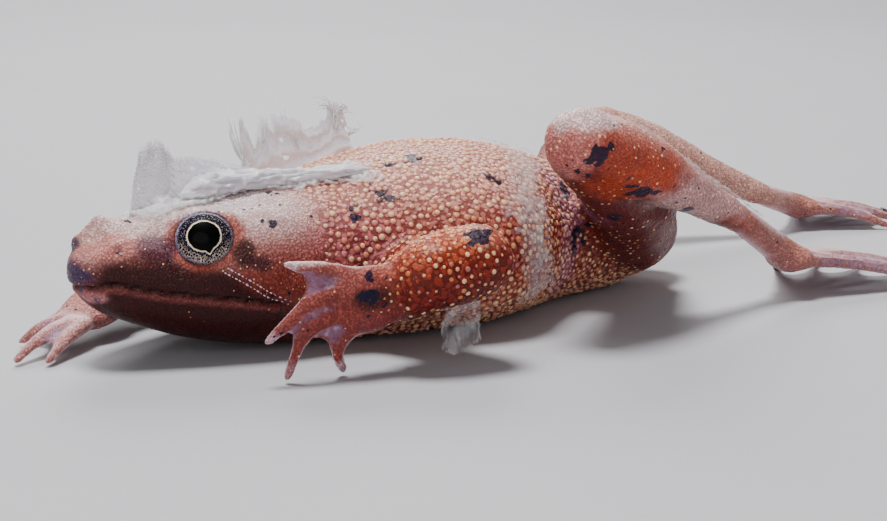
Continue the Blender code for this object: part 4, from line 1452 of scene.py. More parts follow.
@dataclass(frozen=True)
class EyeFinish:
    """A wet, dark eye with a flecked iris and a thin gold ring at the pupil.

    Distances are shares of the eye's half width, from its middle.
    """

    name: str
    pupil_tint: Place = (0.0004, 0.0004, 0.0005)
    iris_tints: tuple[Colour, Colour] = ((3, 2, 8), (24, 18, 50))
    ring_tint: Colour = (255, 236, 200)
    ring: tuple[float, float, float, float] = (0.515, 0.53, 0.56, 0.58)
    notch_place: float = 0.17
    notch_width: float = 0.14
    notch_depth: float = 0.10
    fleck_tint: Colour = (246, 226, 206)
    flecks: float = 20.0
    rim_tints: tuple[Colour, Colour] = ((66, 62, 116), (214, 210, 238))
    rim: tuple[float, float, float, float] = (0.84, 0.89, 0.93, 0.97)
    specular: float = 0.03
    coat: float = 0.07
    coat_roughness: float = 0.05

    def band(self, tree: Tree, radius: object, span: tuple[float, float, float, float]) -> object:
        """1 between the middle two distances, 0 outside the outer two."""
        inside = tree.ramp(radius, span[0], span[1])
        return tree.times(inside, tree.ramp(radius, span[3], span[2]))

    def radius(self, tree: Tree, flat: object, across: object, upward: object) -> object:
        """The distance from the eye's middle, with the pupil's wobble and its notch.

        Args:
            tree: The material's tree.
            flat: The place on the eye, seen from in front.
            across: How far to the side the place lies.
            upward: How far up it lies.

        Returns:
            The distance.
        """
        length = tree.add("ShaderNodeVectorMath", operation="LENGTH")
        tree.link(flat, length.inputs[0])
        beside = tree.math("ABSOLUTE", tree.math("SUBTRACT", across, self.notch_place))
        notch = tree.times(tree.ramp(beside, self.notch_width, 0.0), tree.ramp(upward, 0.0, -0.4))
        edge = tree.times(tree.math("SUBTRACT", tree.noise(flat, 6.0, 3.0), 0.5), 0.08)
        edge = tree.math("SUBTRACT", edge, tree.times(notch, self.notch_depth))
        return tree.math("ADD", length.outputs["Value"], edge)

    def flecked(self, tree: Tree, flat: object, radius: object, upward: object) -> object:
        """A mask of the iris's pale flecks and, low down, its strands.

        Args:
            tree: The material's tree.
            flat: The place on the eye, seen from in front.
            radius: The distance from the eye's middle.
            upward: How far up the place lies.

        Returns:
            The mask.
        """
        low = tree.ramp(upward, 0.1, -0.6)
        flecks = tree.ramp(tree.noise(flat, self.flecks, 3.0, 0.65), 0.57, 0.61)
        flecks = tree.times(flecks, tree.math("ADD", tree.times(low, 0.45), 0.45))
        strands = tree.ramp(tree.cells(flat, 11.0, "DISTANCE_TO_EDGE"), 0.055, 0.02)
        strands = tree.times(strands, self.band(tree, radius, (0.64, 0.74, 0.86, 0.95)))
        return tree.math("MAXIMUM", flecks, tree.times(strands, low))

    def material(self) -> Material:
        """Makes the finish."""
        material, tree, shader = new_material(self.name)
        centred = tree.add("ShaderNodeVectorMath", operation="MULTIPLY_ADD")
        tree.link(tree.add("ShaderNodeUVMap", uv_map="Iris").outputs["UV"], centred.inputs[0])
        centred.inputs[1].default_value = (2.0, 2.0, 0.0)
        centred.inputs[2].default_value = (-1.0, -1.0, 0.0)
        flat = centred.outputs[0]
        parts = tree.add("ShaderNodeSeparateXYZ")
        tree.link(flat, parts.inputs[0])
        across, upward = parts.outputs["X"], parts.outputs["Y"]
        radius = self.radius(tree, flat, across, upward)
        dark, light = self.iris_tints
        iris = tree.mix(tree.noise(flat, 9.0, 3.0), linear(*dark), linear(*light))
        flecks = self.flecked(tree, flat, radius, upward)
        iris = tree.mix(flecks, iris, linear(*self.fleck_tint))
        iris = tree.mix(self.band(tree, radius, self.ring), iris, linear(*self.ring_tint))
        iris = tree.mix(tree.ramp(radius, 0.525, 0.51), iris, self.pupil_tint)
        upper = tree.ramp(tree.math("SUBTRACT", upward, across), -0.6, 0.9)
        dark, light = self.rim_tints
        lilac = tree.mix(tree.noise(flat, 12.0, 3.0), linear(*dark), linear(*light))
        patchy = tree.ramp(tree.noise(flat, 15.0, 3.0), 0.3, 0.6)
        rim = tree.times(self.band(tree, radius, self.rim), patchy)
        rim = tree.times(rim, tree.math("ADD", tree.times(upper, 0.4), 0.5))
        tree.feed(
            shader, Base_Color=tree.mix(rim, iris, lilac), Roughness=0.45,
            Specular_IOR_Level=self.specular, Coat_Weight=self.coat, Coat_Roughness=self.coat_roughness,
        )
        return material


@dataclass
class Eye:
    """One eye: a ball with its iris, and the rim of skin around it, in millimetres."""

    side: Side
    way: Place = (-0.46, 0.81, 0.36)
    half_size: Place = (1.38, 1.27, 1.05)
    lid_level: float = 0.42
    lid_radius: float = 0.14
    lid_skirt: float = 0.5
    lid_spread: float = 1.09
    lid_around: int = 48
    lid_across: int = 12
    segments: int = 72
    rings: int = 48
    centre: Vector = field(init=False)
    turn: Matrix = field(init=False)

    def __post_init__(self) -> None:
        """Places the eye in the middle of its solid."""
        low, high = (Vector(corner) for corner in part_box(f"{self.side.word}_eye"))
        self.centre = (low + high) / 2
        x, y, z = self.way
        axis = Vector((x, y * self.side.value, z)).normalized()
        across = Vector((0, 0, 1)).cross(axis).normalized()
        upward = axis.cross(across)
        self.turn = Matrix((across, upward, axis)).transposed()

    def place(self, local: Vector) -> Vector:
        """A point of the frame, from its place in the eye in millimetres."""
        return self.centre + self.turn @ (local * MM)

    def levels_of(self, points: np.ndarray) -> np.ndarray:
        """How far out each point of the skin lies, 1 at the ball's surface."""
        centre = np.array((self.centre - SNOUT_TIP) / MM)
        local = (points - centre) @ np.array(self.turn)
        return np.linalg.norm(local / np.array(self.half_size), axis=1)

    def add_lid(self, shape: BMesh) -> None:
        """Adds the rim of skin around the eye.

        Args:
            shape: The shape of the flesh, in the frame.
        """
        wide, high, deep = self.half_size
        share = math.sqrt(1 - (self.lid_level / deep) ** 2) * self.lid_spread
        loops = []
        for i in range(self.lid_around):
            angle = 2 * math.pi * i / self.lid_around
            out = Vector((math.cos(angle), math.sin(angle), 0))
            middle = Vector((out.x * wide * share, out.y * high * share, self.lid_level))
            loop = []
            for j in range(self.lid_across):
                turn = 2 * math.pi * j / self.lid_across
                depth = self.lid_radius if math.sin(turn) > 0 else self.lid_skirt
                offset = out * math.cos(turn) * self.lid_radius
                offset += Vector((0, 0, math.sin(turn) * depth))
                loop.append(shape.verts.new(self.place(middle + offset)))
            loops.append(loop)
        bridge(shape, loops, ringed=True)

    def build(self) -> Object:
        """Makes the ball of the eye."""
        shape = bmesh.new()
        layer = shape.loops.layers.uv.new("Iris")
        bmesh.ops.create_uvsphere(shape, u_segments=self.segments, v_segments=self.rings, radius=1.0)
        for face in shape.faces:
            for loop in face.loops:
                co = loop.vert.co
                loop[layer].uv = ((co.x + 1) / 2, (co.y + 1) / 2)
        for vertex in shape.verts:
            local = Vector(a * b for a, b in zip(vertex.co, self.half_size))
            vertex.co = self.place(local)
        bmesh.ops.recalc_face_normals(shape, faces=shape.faces)
        thing = new_object(f"eye_{self.side.word}", mesh_from("eye", shape))
        finish = EyeFinish(f"{self.side.word} eye")
        return settle(thing, finish.material(), "eye", f"{self.side.word}_eye")


@dataclass(frozen=True)
class FilmFinish:
    """Pale, half clear film of shed skin, denser in its creases.

    Thin and dense say how much light its clearest places and its creases stop.
    """

    name: str
    thin: float
    dense: float
    clouds: float = 900.0
    grain: float = 7000.0
    clear_tint: Colour = (228, 220, 238)
    dense_tint: Colour = (255, 254, 252)
    sheen: float = 0.9
    relief: float = 0.00002

    def material(self) -> Material:
        """Makes the finish."""
        material, tree, shader = new_material(self.name)
        place = tree.place()
        cloud = tree.noise(place, self.clouds, 4.0, 0.6)
        grain = tree.ramp(tree.noise(place, self.grain, 2.0, 0.6), 0.35, 0.7)
        creases = tree.times(tree.attribute("crease"), 0.6)
        body = tree.math("ADD", tree.times(cloud, 0.45), creases)
        body = tree.math("ADD", body, tree.times(grain, 0.12), True)
        solid = tree.between(body, self.thin, self.dense)
        tree.feed(shader, Alpha=tree.times(solid, tree.attribute("fade")))
        colour = tree.mix(body, linear(*self.clear_tint), linear(*self.dense_tint))
        tree.feed(
            shader, Base_Color=colour, Roughness=tree.ramp(cloud, -0.6, 1.8),
            Sheen_Weight=self.sheen, Normal=tree.bump(grain, self.relief, 0.5),
        )
        return material


class Film(Enum):
    """The kinds of film that the moult comes in."""

    THIN = FilmFinish("thin moult", 0.16, 0.8)
    LOOSE = FilmFinish("loose moult", 0.3, 1.0)
    HAZE = FilmFinish("haze of moult", 0.0, 0.2)
    BUNCHED = FilmFinish("bunched moult", 0.75, 1.0)


@dataclass(frozen=True)
class Post:
    """One upright of a standing film: its foot on the skin and its free top."""

    foot: tuple[float, float]
    top: Place
    foot_level: float | None = None


@dataclass(frozen=True)
class StandingFilm:
    """A film of moult that stands up or hangs free between posts."""

    name: str
    node: str
    posts: tuple[Post, ...]
    columns: int
    rows: int
    ripples: float
    ragged: float
    seed: float
    edging: float = 0.3
    sway: float = 0.3
    film: Film = Film.LOOSE


@dataclass(frozen=True)
class Veil:
    """A veil of moult that lies on the skin along a path, in millimetres."""

    name: str
    path: tuple[Place, ...]
    width: float
    way: Place
    columns: int
    rows: int
    lift: float
    ruffle: float
    seed: float
    tear: float = 0.12
    film: Film = Film.THIN


@dataclass(frozen=True)
class Tuft:
    """A spray of fine threads of moult."""

    root: Place
    tip: Place
    threads: int
    spread: float
    bend: Place = (0.0, 0.0, 0.0)


@dataclass
class Sheet:
    """A thin film in the making, as rows and columns of places in millimetres.

    Crease is how dense the film is at each place, fade how whole, and keep is False
    where it is torn away.
    """

    places: list[list[Vector]] = field(default_factory=list)
    crease: list[list[float]] = field(default_factory=list)
    fade: list[list[float]] = field(default_factory=list)
    keep: list[list[bool]] = field(default_factory=list)
    fewest: int = 30

    def start_column(self) -> None:
        """Begins a new column."""
        for columns in (self.places, self.crease, self.fade, self.keep):
            columns.append([])

    def add(self, place: Vector, crease: float, fade: float, keep: bool) -> None:
        """Adds one place to the last column."""
        self.places[-1].append(place)
        self.crease[-1].append(crease)
        self.fade[-1].append(fade)
        self.keep[-1].append(keep)

    def mesh(self, name: str) -> Mesh:
        """The film as a mesh without thickness.

        Args:
            name: The mesh's name.

        Returns:
            The mesh, in the frame.
        """
        shape = bmesh.new()
        crease = shape.verts.layers.float.new("crease")
        fade = shape.verts.layers.float.new("fade")
        verts = []
        for i, column in enumerate(self.places):
            verts.append([])
            for j, place in enumerate(column):
                vertex = shape.verts.new(SNOUT_TIP + place * MM)
                vertex[crease] = self.crease[i][j]
                vertex[fade] = self.fade[i][j]
                verts[i].append(vertex)
        for i in range(len(verts) - 1):
            for j in range(len(verts[i]) - 1):
                corners = ((i, j), (i + 1, j), (i + 1, j + 1), (i, j + 1))
                if all(self.keep[a][b] for a, b in corners):
                    shape.faces.new([verts[a][b] for a, b in corners])
        loose = [vertex for vertex in shape.verts if not vertex.link_faces]
        bmesh.ops.delete(shape, geom=loose, context="VERTS")
        drop_scraps(shape, self.fewest)
        return mesh_from(name, shape)


@dataclass
class Moult:
    """The shed skin that still clings to the frog in films, veils and threads."""

    skin: Skin
    thickness: float = 0.05
    thread_width: float = 0.07
    thread_steps: int = 7
    thread_sides: int = 3
    thread_seed: int = 12
    films: tuple[StandingFilm, ...] = (
        StandingFilm(
            "moult_film_head", "moult_head",
            (
                Post((3.5, 1.5), (4.1, 1.5, 9.3)), Post((4.3, 1.5), (4.7, 1.6, 9.8)),
                Post((5.2, 1.5), (5.4, 1.65, 9.75)), Post((6.1, 1.5), (6.0, 1.6, 8.9)),
            ),
            columns=90, rows=72, ripples=19.0, ragged=0.09, seed=4.0, edging=0.2,
        ),
        StandingFilm(
            "moult_film_brow", "moult_head",
            (
                Post((5.4, 1.3), (5.6, 1.35, 9.1)), Post((6.6, 1.0), (6.6, 1.0, 9.0)),
                Post((7.8, 0.6), (7.9, 0.6, 8.75)), Post((9.0, 0.2), (9.2, 0.2, 8.3)),
                Post((10.4, -0.4), (10.4, -0.4, 8.1)),
            ),
            columns=130, rows=44, ripples=7.0, ragged=0.12, seed=6.0,
        ),
        StandingFilm(
            "moult_film_crest", "moult_crest",
            (
                Post((9.5, 1.2), (9.6, 1.5, 8.6)), Post((10.0, 1.6), (9.8, 2.0, 10.6)),
                Post((10.6, 1.9), (10.7, 2.3, 9.2)), Post((11.6, 2.1), (11.3, 2.7, 10.4)),
                Post((13.0, 2.3), (12.9, 2.9, 10.4)), Post((14.6, 2.4), (14.7, 3.0, 9.7)),
                Post((15.8, 2.5), (16.0, 3.3, 10.9)), Post((16.8, 2.6), (16.9, 3.1, 9.9)),
            ),
            columns=190, rows=40, ripples=3.0, ragged=0.26, seed=9.0,
        ),
        StandingFilm(
            "moult_film_elbow", "moult_elbow",
            (
                Post((13.3, -9.9), (12.8, -9.6, 0.9), 2.9),
                Post((14.2, -9.95), (14.1, -9.7, 0.45), 2.9),
                Post((15.2, -9.95), (15.4, -9.8, 0.9), 3.0),
            ),
            columns=56, rows=44, ripples=2.0, ragged=0.34, seed=14.0, edging=1.0, sway=0.7,
            film=Film.HAZE,
        ),
    )
    fold_path: tuple[tuple[float, float], ...] = (
        (5.7, 0.6), (7.0, 0.25), (8.7, -0.3), (10.6, -1.0), (12.4, -1.95), (14.2, -2.7),
    )
    fold_radii: tuple[float, ...] = (0.5, 0.84, 0.7, 0.54, 0.44, 0.28)
    fold_rings: int = 150
    fold_sides: int = 40
    veils: tuple[Veil, ...] = (
        Veil(
            "moult_veil_back",
            (
                (2.9, 0.3, 6.6), (5.0, 0.4, 7.2), (7.0, 0.3, 7.7), (9.5, -0.5, 8.0),
                (12.0, -1.5, 8.2), (14.6, -2.6, 8.2),
            ),
            width=4.2, way=(0.0, 1.0, 0.0), columns=170, rows=56, lift=0.10, ruffle=0.12, seed=21.0,
        ),
        Veil(
            "moult_veil_waist",
            (
                (21.9, -6.2, 1.6), (20.9, -7.2, 3.2), (20.4, -7.3, 5.6), (21.2, -6.0, 7.2),
                (23.0, -3.3, 8.0), (24.2, 0.0, 8.3),
            ),
            width=5.4, way=(1.0, 0.0, 0.0), columns=120, rows=34, lift=0.12, ruffle=0.16, seed=25.0,
            tear=0.3, film=Film.HAZE,
        ),
        Veil(
            "moult_veil_knee",
            (
                (21.0, -9.0, 11.0), (24.4, -9.9, 10.0), (28.0, -9.9, 8.3), (32.0, -9.7, 6.1),
                (35.0, -9.4, 4.7),
            ),
            width=0.7, way=(0.0, 1.0, 0.0), columns=120, rows=14, lift=0.10, ruffle=0.06, seed=28.0,
        ),
    )
    tufts: tuple[Tuft, ...] = (
        Tuft((9.9, 1.6, 8.3), (9.2, 2.0, 10.6), 16, 0.14, (-0.2, 0.0, 0.1)),
        Tuft((11.4, 2.3, 9.2), (11.5, 2.8, 10.4), 14, 0.35),
        Tuft((13.4, 2.5, 9.0), (13.0, 2.9, 10.3), 14, 0.4),
        Tuft((15.9, 2.8, 9.4), (16.0, 3.3, 10.9), 18, 0.14),
        Tuft((15.9, 3.1, 10.2), (14.6, 3.2, 10.85), 14, 0.16, (0.2, 0.0, 0.3)),
        Tuft((15.9, 3.1, 10.1), (17.3, 3.4, 10.5), 16, 0.2, (0.0, 0.0, 0.3)),
        Tuft((16.9, 3.0, 9.2), (17.9, 3.3, 9.6), 12, 0.25),
    )

    surface: BVHTree = field(init=False)

    def __post_init__(self) -> None:
        """Takes the skin, in millimetres from the snout tip, to lay the moult on."""
        self.surface = skin_surface(self.skin)

    def top_of_skin(self, x: float, y: float) -> float:
        """How high the skin is over a place of the floor, in millimetres."""
        hit = self.surface.ray_cast(Vector((x, y, 30.0)), Vector((0, 0, -1)))
        return hit[0].z

    def finished(self, name: str, sheet: Sheet, material: Material, *nodes: str) -> Object:
        """Makes a piece of film from its sheet, and gives it its thickness.

        Args:
            name: The piece's name.
            sheet: Its places.
            material: Its finish.
            nodes: The nodes of the frame that it takes the place of.

        Returns:
            The piece.
        """
        thing = new_object(name, sheet.mesh(name))
        modifier = thing.modifiers.new("Thickness", "SOLIDIFY")
        modifier.thickness = self.thickness * MM
        modifier.offset = 0.0
        evaluated(thing)
        return settle(thing, material, "shed skin", *nodes)

    def posts_of(self, film: StandingFilm) -> tuple[list[Vector], list[Vector]]:
        """The feet and the tops of a film's posts.

        Args:
            film: The film.

        Returns:
            The places of the feet and those of the tops.
        """
        feet, tops = [], []
        for post in film.posts:
            x, y = post.foot
            level = post.foot_level
            if level is None:
                level = self.top_of_skin(x, y) - 0.05
            feet.append(Vector((x, y, level)))
            tops.append(Vector(post.top))
        return feet, tops

    def edge_of(self, film: StandingFilm, u: float) -> float:
        """How far up its posts a film reaches at a share of its length, with its rags."""
        edge = 0.0
        for waves, share, level in ((23.0, 1.0, 0.0), (70.0, 0.6, 5.0), (6.0, 1.0, 8.0)):
            edge += noise.noise(Vector((u * waves, film.seed, level))) * film.ragged * share
        return 0.98 + min(edge, 0.02)

    def standing(self, film: StandingFilm, material: Material) -> Object:
        """Makes a film that stands or hangs free, with ripples and a ragged edge.

        Args:
            film: The film.
            material: Its finish.

        Returns:
            The film as a piece.
        """
        feet, tops = self.posts_of(film)
        sheet = Sheet()
        seed = film.seed
        for i in range(film.columns):
            u = i / (film.columns - 1)
            beside = abs(2 * u - 1)
            foot, top = spline(feet, u), spline(tops, u)
            before, after = max(0.0, u - PATH_STEP), min(1.0, u + PATH_STEP)
            along = (spline(tops, after) - spline(tops, before)).normalized()
            across = along.cross(top - foot).normalized()
            reach = self.edge_of(film, u)
            bow = 0.35 * math.sin(math.pi * (u * 1.2 + 0.1))
            sheet.start_column()
            for j in range(film.rows):
                v = j / (film.rows - 1)
                wave = math.sin(2 * math.pi * (film.ripples * (v + bow * (1 - v)) + 1.5 * u))
                wave *= 0.7 + 0.5 * noise.noise(Vector((u * 6, v * 6, seed)))
                soft = noise.noise(Vector((u * 5, v * 3, seed + 7)))
                sway = noise.noise(Vector((v * 1.6, u * 0.5, seed + 11)))
                place = foot.lerp(top, v * reach)
                place = place + across * (wave * 0.05 + soft * 0.16 * v)
                place = place + along * sway * film.sway * v
                border = max(smooth_edge(v, 0.9, 1.0), smooth_edge(beside, 0.9, 1.0))
                dense = 0.4 + 0.8 * wave + 0.8 * border * film.edging
                hole = noise.noise(Vector((u * 14, v * 9, seed + 3)))
                tear = 0.35 + 0.8 * noise.noise(Vector((v * 6, u * 2, seed + 5)))
                whole = (hole > -0.62 or v < 0.2) and 1 - beside > film.ragged * tear * v
                sheet.add(place, dense, 1.0 - (1 - film.edging) * border, whole)
        return self.finished(film.name, sheet, material, film.node)

    def veil(self, veil: Veil, material: Material) -> Object:
        """Lays a ruffled veil on the skin along its path.

        Args:
            veil: The veil.
            material: Its finish.

        Returns:
            The veil as a piece.
        """
        line = [Vector(place) for place in veil.path]
        way = Vector(veil.way)
        seed = veil.seed
        sheet = Sheet()
        for i in range(veil.columns):
            u = i / (veil.columns - 1)
            middle = spline(line, u)
            width = veil.width * (0.75 + 0.5 * noise.noise(Vector((u * 5, seed, 1.0))))
            sheet.start_column()
            for j in range(veil.rows):
                v = j / (veil.rows - 1) * 2 - 1
                place, normal, _, _ = self.surface.find_nearest(middle + way * v * width / 2)
                ruffle = noise.noise(place * 1.6 + Vector((seed, 0, 0)))
                fine = noise.noise(place * 5.0 + Vector((0, seed, 0)))
                crest = math.exp(-((ruffle / 0.22) ** 2))
                lift = veil.lift + veil.ruffle * (0.8 * crest + 0.5 * fine) + 0.06 * abs(v)
                edge = min(1 - abs(v), 8 * u, 8 * (1 - u))
                fade = smooth_edge(edge + 0.6 * fine + 0.3 * ruffle, 0.0, 0.8)
                torn = noise.noise(Vector((u * 40, v * 4, seed + 2)))
                whole = edge + veil.tear * torn * 2 > veil.tear * 0.6
                sheet.add(place + normal * max(lift, 0.05), 0.75 * crest + 0.3, fade, whole)
        return self.finished(veil.name, sheet, material)

    def fold(self, material: Material) -> Object:
        """Makes the thick rolled fold along the back, with lengthwise wrinkles.

        Args:
            material: Its finish.

        Returns:
            The fold as a piece.
        """
        shape = bmesh.new()
        crease = shape.verts.layers.float.new("crease")
        fade = shape.verts.layers.float.new("fade")
        line = []
        for (x, y), radius in zip(self.fold_path, self.fold_radii):
            line.append(Vector((x, y, self.top_of_skin(x, y) + radius * 0.75)))
        last = len(self.fold_radii) - 1
        loops = []
        for i in range(self.fold_rings):
            u = i / (self.fold_rings - 1)
            middle = spline(line, u)
            before, after = max(0.0, u - PATH_STEP), min(1.0, u + PATH_STEP)
            along = (spline(line, after) - spline(line, before)).normalized()
            side = along.cross(Vector((0, 0, 1))).normalized()
            above = side.cross(along)
            radius = float(np.interp(u * last, range(last + 1), self.fold_radii))
            radius *= math.sqrt(max(0.0, min(1.0, 7 * u, 10 * (1 - u))))
            loop = []
            for j in range(self.fold_sides):
                angle = 2 * math.pi * j / self.fold_sides
                across, upward = math.cos(angle), math.sin(angle)
                wrinkle = noise.noise(Vector((u * 9.0, across * 2.2, upward * 2.2)))
                fine = noise.noise(Vector((u * 14.0, across * 7.0, upward * 7.0 + 9)))
                crest = math.exp(-((wrinkle / 0.16) ** 2))
                reach = radius * (0.78 + 0.24 * crest + 0.3 * wrinkle + 0.2 * fine)
                out = side * across * 1.25 + above * upward * 0.78
                vertex = shape.verts.new(SNOUT_TIP + (middle + out * reach) * MM)
                vertex[crease] = crest
                vertex[fade] = 1.0
                loop.append(vertex)
            loops.append(loop)
        bridge(shape, loops)
        bmesh.ops.remove_doubles(shape, verts=shape.verts, dist=0.002 * MM)
        bmesh.ops.holes_fill(shape, edges=shape.edges, sides=0)
        bmesh.ops.recalc_face_normals(shape, faces=shape.faces)
        thing = new_object("moult_fold_back", mesh_from("fold", shape))
        return settle(thing, material, "shed skin", "moult_fold")

    def thread_tree(self, material: Material) -> NodeTree:
        """The tree that gives lines their round, tapered body.

        Args:
            material: The finish of the threads.

        Returns:
            A tree with the inputs Width and Sides.
        """
        kinds = {"Width": "NodeSocketFloat", "Sides": "NodeSocketInt"}
        group, tree, entry = geometry_tree("Threads", kinds)
        line = tree.add("GeometryNodeMeshToCurve")
        tree.feed(line, Mesh=entry["Geometry"])
        ring = tree.add("GeometryNodeCurvePrimitiveCircle")
        tree.feed(ring, Resolution=entry["Sides"], Radius=tree.times(entry["Width"], 0.5))
        body = tree.add("GeometryNodeCurveToMesh")
        tree.feed(
            body, Curve=line.outputs["Curve"], Profile_Curve=ring.outputs["Curve"],
            Scale=tree.named("taper"), Fill_Caps=True,
        )
        tree.close(body.outputs["Mesh"], material)
        return group

    def threads(self, material: Material, films: list[Object]) -> Object:
        """Makes the fine threads that stand out from the crest's ragged edge.

        Args:
            material: The finish of the threads.
            films: The films that the threads are rooted on.

        Returns:
            The threads as one piece.
        """
        holder = surface_of(films)
        draw = np.random.default_rng(self.thread_seed)
        places, lines, taper = [], [], []
        for tuft in self.tufts:
            root, tip = Vector(tuft.root), Vector(tuft.tip)
            for _ in range(tuft.threads):
                start = root + Vector(draw.normal(0, tuft.spread * 0.35, 3))
                start = holder.find_nearest(start)[0]
                end = tip + Vector(draw.normal(0, tuft.spread, 3))
                end = start.lerp(end, float(draw.uniform(0.55, 1.0)))
                bow = Vector(tuft.bend) + Vector(draw.normal(0, 0.1, 3))
                for i in range(self.thread_steps):
                    u = i / (self.thread_steps - 1)
                    place = start.lerp(end, u) + bow * (4 * u * (1 - u))
                    if i:
                        lines.append((len(places) - 1, len(places)))
                    places.append(SNOUT_TIP + place * MM)
                    taper.append(1 - 0.75 * u)
        mesh = bpy.data.meshes.new("threads")
        mesh.from_pydata(places, lines, [])
        store(mesh, "taper", np.array(taper))
        store(mesh, "crease", np.full(len(places), 0.9))
        store(mesh, "fade", np.ones(len(places)))
        thing = new_object("moult_threads", mesh)
        width = self.thread_width * MM
        grown(thing, self.thread_tree(material), Width=width, Sides=self.thread_sides)
        return settle(thing, None, "shed skin")

    def build(self) -> None:
        """Makes every piece of the moult."""
        finishes = {film: film.value.material() for film in Film}
        self.fold(finishes[Film.BUNCHED])
        films = [self.standing(film, finishes[film.film]) for film in self.films]
        for veil in self.veils:
            self.veil(veil, finishes[veil.film])
        self.threads(finishes[Film.BUNCHED], films)


@dataclass(frozen=True)
class HornFinish:
    """Glossy black horn, browner in patches."""

    dark: Colour = (16, 10, 10)
    brown: Colour = (52, 34, 30)
    grain: float = 5000.0
    coat: float = 0.5
    relief: float = 0.00002

    def material(self) -> Material:
        """Makes the finish."""
        material, tree, shader = new_material("claw horn")
        grain = tree.noise(tree.place(), self.grain, 3.0)
        colour = tree.mix(grain, linear(*self.dark), linear(*self.brown))
        tree.feed(
            shader, Base_Color=colour, Roughness=tree.ramp(grain, -0.8, 2.4), Coat_Weight=self.coat,
            Normal=tree.bump(grain, self.relief, 0.4),
        )
        return material


@dataclass
class Claws:
    """The black claws on the three inner toes of one foot, in millimetres."""

    side: Side
    root: Place
    tips: tuple[tuple[float, float], ...]
    level: float = 0.27
    length: float = 0.95
    radius: float = 0.3
    narrowness: float = 0.85
    droop: float = 0.06
    steps: int = 12
    sides: int = 20

    def build(self, material: Material) -> Object:
        """Makes the claws of the foot as one piece."""
        shape = bmesh.new()
        root = Vector((self.root[0], self.root[1], self.level))
        for x, y in self.tips:
            tip = Vector((x, y, self.level))
            self.add_claw(shape, tip, (tip - root).normalized())
        bmesh.ops.recalc_face_normals(shape, faces=shape.faces)
        name = f"claws_{self.side.word}"
        return settle(new_object(name, mesh_from(name, shape)), material, "eye")

    def add_claw(self, shape: BMesh, root: Vector, way: Vector) -> None:
        """Adds one claw, a cone that curves down to its point.

        Args:
            shape: The shape of the foot's claws, in the frame.
            root: The middle of the claw's root, in millimetres.
            way: Where it points.
        """
        side = way.cross(Vector((0, 0, 1))).normalized()
        above = Vector((0, 0, 1))
        loops = []
        for i in range(self.steps):
            u = i / (self.steps - 1)
            radius = self.radius * math.sqrt(1 - u * 0.999) * (1 - 0.35 * u)
            middle = root + way * self.length * u - above * self.droop * u * u
            loop = []
            for j in range(self.sides):
                angle = 2 * math.pi * j / self.sides
                out = side * math.cos(angle) * self.narrowness + above * math.sin(angle)
                place = middle + out * radius
                place.z = max(place.z, 0.0)
                loop.append(shape.verts.new(SNOUT_TIP + place * MM))
            loops.append(loop)
        bridge(shape, loops, capped=True)


@dataclass(frozen=True)
class FloorFinish:
    """Plain, pale, matt floor with the faintest clouds."""

    dark: Place = (0.47, 0.465, 0.49)
    light: Place = (0.50, 0.495, 0.52)
    clouds: float = 40.0
    roughness: float = 0.7

    def material(self) -> Material:
        """Makes the finish."""
        material, tree, shader = new_material("floor")
        cloud = tree.noise(tree.place(), self.clouds, 3.0)
        tree.feed(shader, Base_Color=tree.mix(cloud, self.dark, self.light), Roughness=self.roughness)
        return material


@dataclass(frozen=True)
class Lamp:
    """A round, soft light: its place in millimetres, its width in metres and its power."""

    name: str
    place: Place
    width: float
    power: float


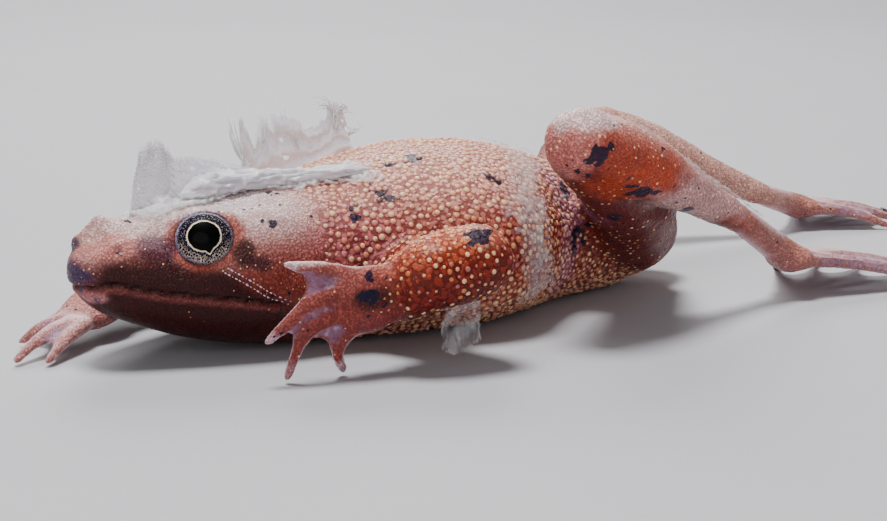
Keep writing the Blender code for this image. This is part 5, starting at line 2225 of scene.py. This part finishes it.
@dataclass
class Studio:
    """The floor, the lights and the camera."""

    aim: Place = (15.96, -6.18, 4.02)
    distance: float = 75.0
    yaw: float = 37.3
    elevation: float = 10.7
    sensor: float = 36.0
    focal_pixels: float = 1584.0
    photo_width: float = 887.0
    floor_flat: float = 0.45
    floor_reach: float = 1.1
    floor_rise: float = 0.6
    floor_sides: int = 64
    floor_steps: int = 16
    lamps: tuple[Lamp, ...] = (
        Lamp("key", (-40.0, 60.0, 640.0), 0.22, 5.6), Lamp("fill", (-420.0, -480.0, 240.0), 0.6, 1.5),
        Lamp("rim", (320.0, 520.0, 420.0), 0.4, 3.4),
    )
    lit_place: Place = (16.0, 0.0, 3.0)
    air_tint: Place = (0.95, 0.96, 1.0)
    air_light: float = 0.22

    def floor(self) -> None:
        """A plain pale floor that curves up far around the frog."""
        shape = bmesh.new()
        rings = []
        for i in range(self.floor_steps):
            share = i / (self.floor_steps - 1)
            radius = self.floor_flat + (self.floor_reach - self.floor_flat) * share
            level = self.floor_rise * share * share
            ring = []
            for j in range(self.floor_sides):
                angle = 2 * math.pi * j / self.floor_sides
                place = (radius * math.cos(angle), radius * math.sin(angle), level)
                ring.append(shape.verts.new(place))
            rings.append(ring)
        shape.faces.new(rings[0])
        bridge(shape, rings)
        bmesh.ops.recalc_face_normals(shape, faces=shape.faces)
        thing = new_object("floor", mesh_from("floor", shape))
        thing.data.shade_smooth()
        thing.data.materials.append(FloorFinish().material())

    def light(self, lamp: Lamp) -> None:
        """Hangs a lamp that faces the frog."""
        data = bpy.data.lights.new(lamp.name, "AREA")
        data.shape = "DISK"
        data.size = lamp.width
        data.energy = lamp.power
        thing = bpy.data.objects.new(lamp.name, data)
        thing.location = at(*lamp.place)
        way = at(*self.lit_place) - thing.location
        thing.rotation_euler = way.to_track_quat("-Z", "Y").to_euler()
        bpy.context.scene.collection.objects.link(thing)

    def air(self) -> None:
        """Fills the room with even, weak light."""
        world = bpy.data.worlds.new("studio")
        bpy.context.scene.world = world
        world.use_nodes = True
        background = world.node_tree.nodes["Background"]
        background.inputs["Color"].default_value = (*self.air_tint, 1.0)
        background.inputs["Strength"].default_value = self.air_light

    def camera(self) -> None:
        """A camera at the photograph's angle."""
        yaw, rise = math.radians(self.yaw), math.radians(self.elevation)
        back = Vector(
            (-math.sin(yaw) * math.cos(rise), -math.cos(yaw) * math.cos(rise), math.sin(rise))
        )
        data = bpy.data.cameras.new("camera")
        data.sensor_width = self.sensor
        data.lens = self.focal_pixels * self.sensor / self.photo_width
        data.clip_start = 0.002
        thing = bpy.data.objects.new("camera", data)
        thing.location = at(*self.aim) + back * self.distance * MM
        thing.rotation_euler = back.to_track_quat("Z", "Y").to_euler()
        bpy.context.scene.collection.objects.link(thing)
        bpy.context.scene.camera = thing

    def build(self) -> None:
        """Sets up the stage."""
        self.floor()
        for lamp in self.lamps:
            self.light(lamp)
        self.air()
        self.camera()
        LOG.info("studio")


def main() -> None:
    """Builds the looks of the whole frog."""
    pores = pore_group()
    eyes = [Eye(side) for side in Side]
    skin = Skin(eyes)
    skin.build(pores)
    Warts(skin).build()
    for eye in eyes:
        eye.build()
    Moult(skin).build()
    horn = HornFinish().material()
    Claws(Side.LEFT, LEFT_TOE_ROOT, LEFT_TOE_TIPS[:3]).build(horn)
    Claws(Side.RIGHT, RIGHT_TOE_ROOT, RIGHT_TOE_TIPS[:3]).build(horn)
    Studio().build()


if __name__ == "__main__":
    main()
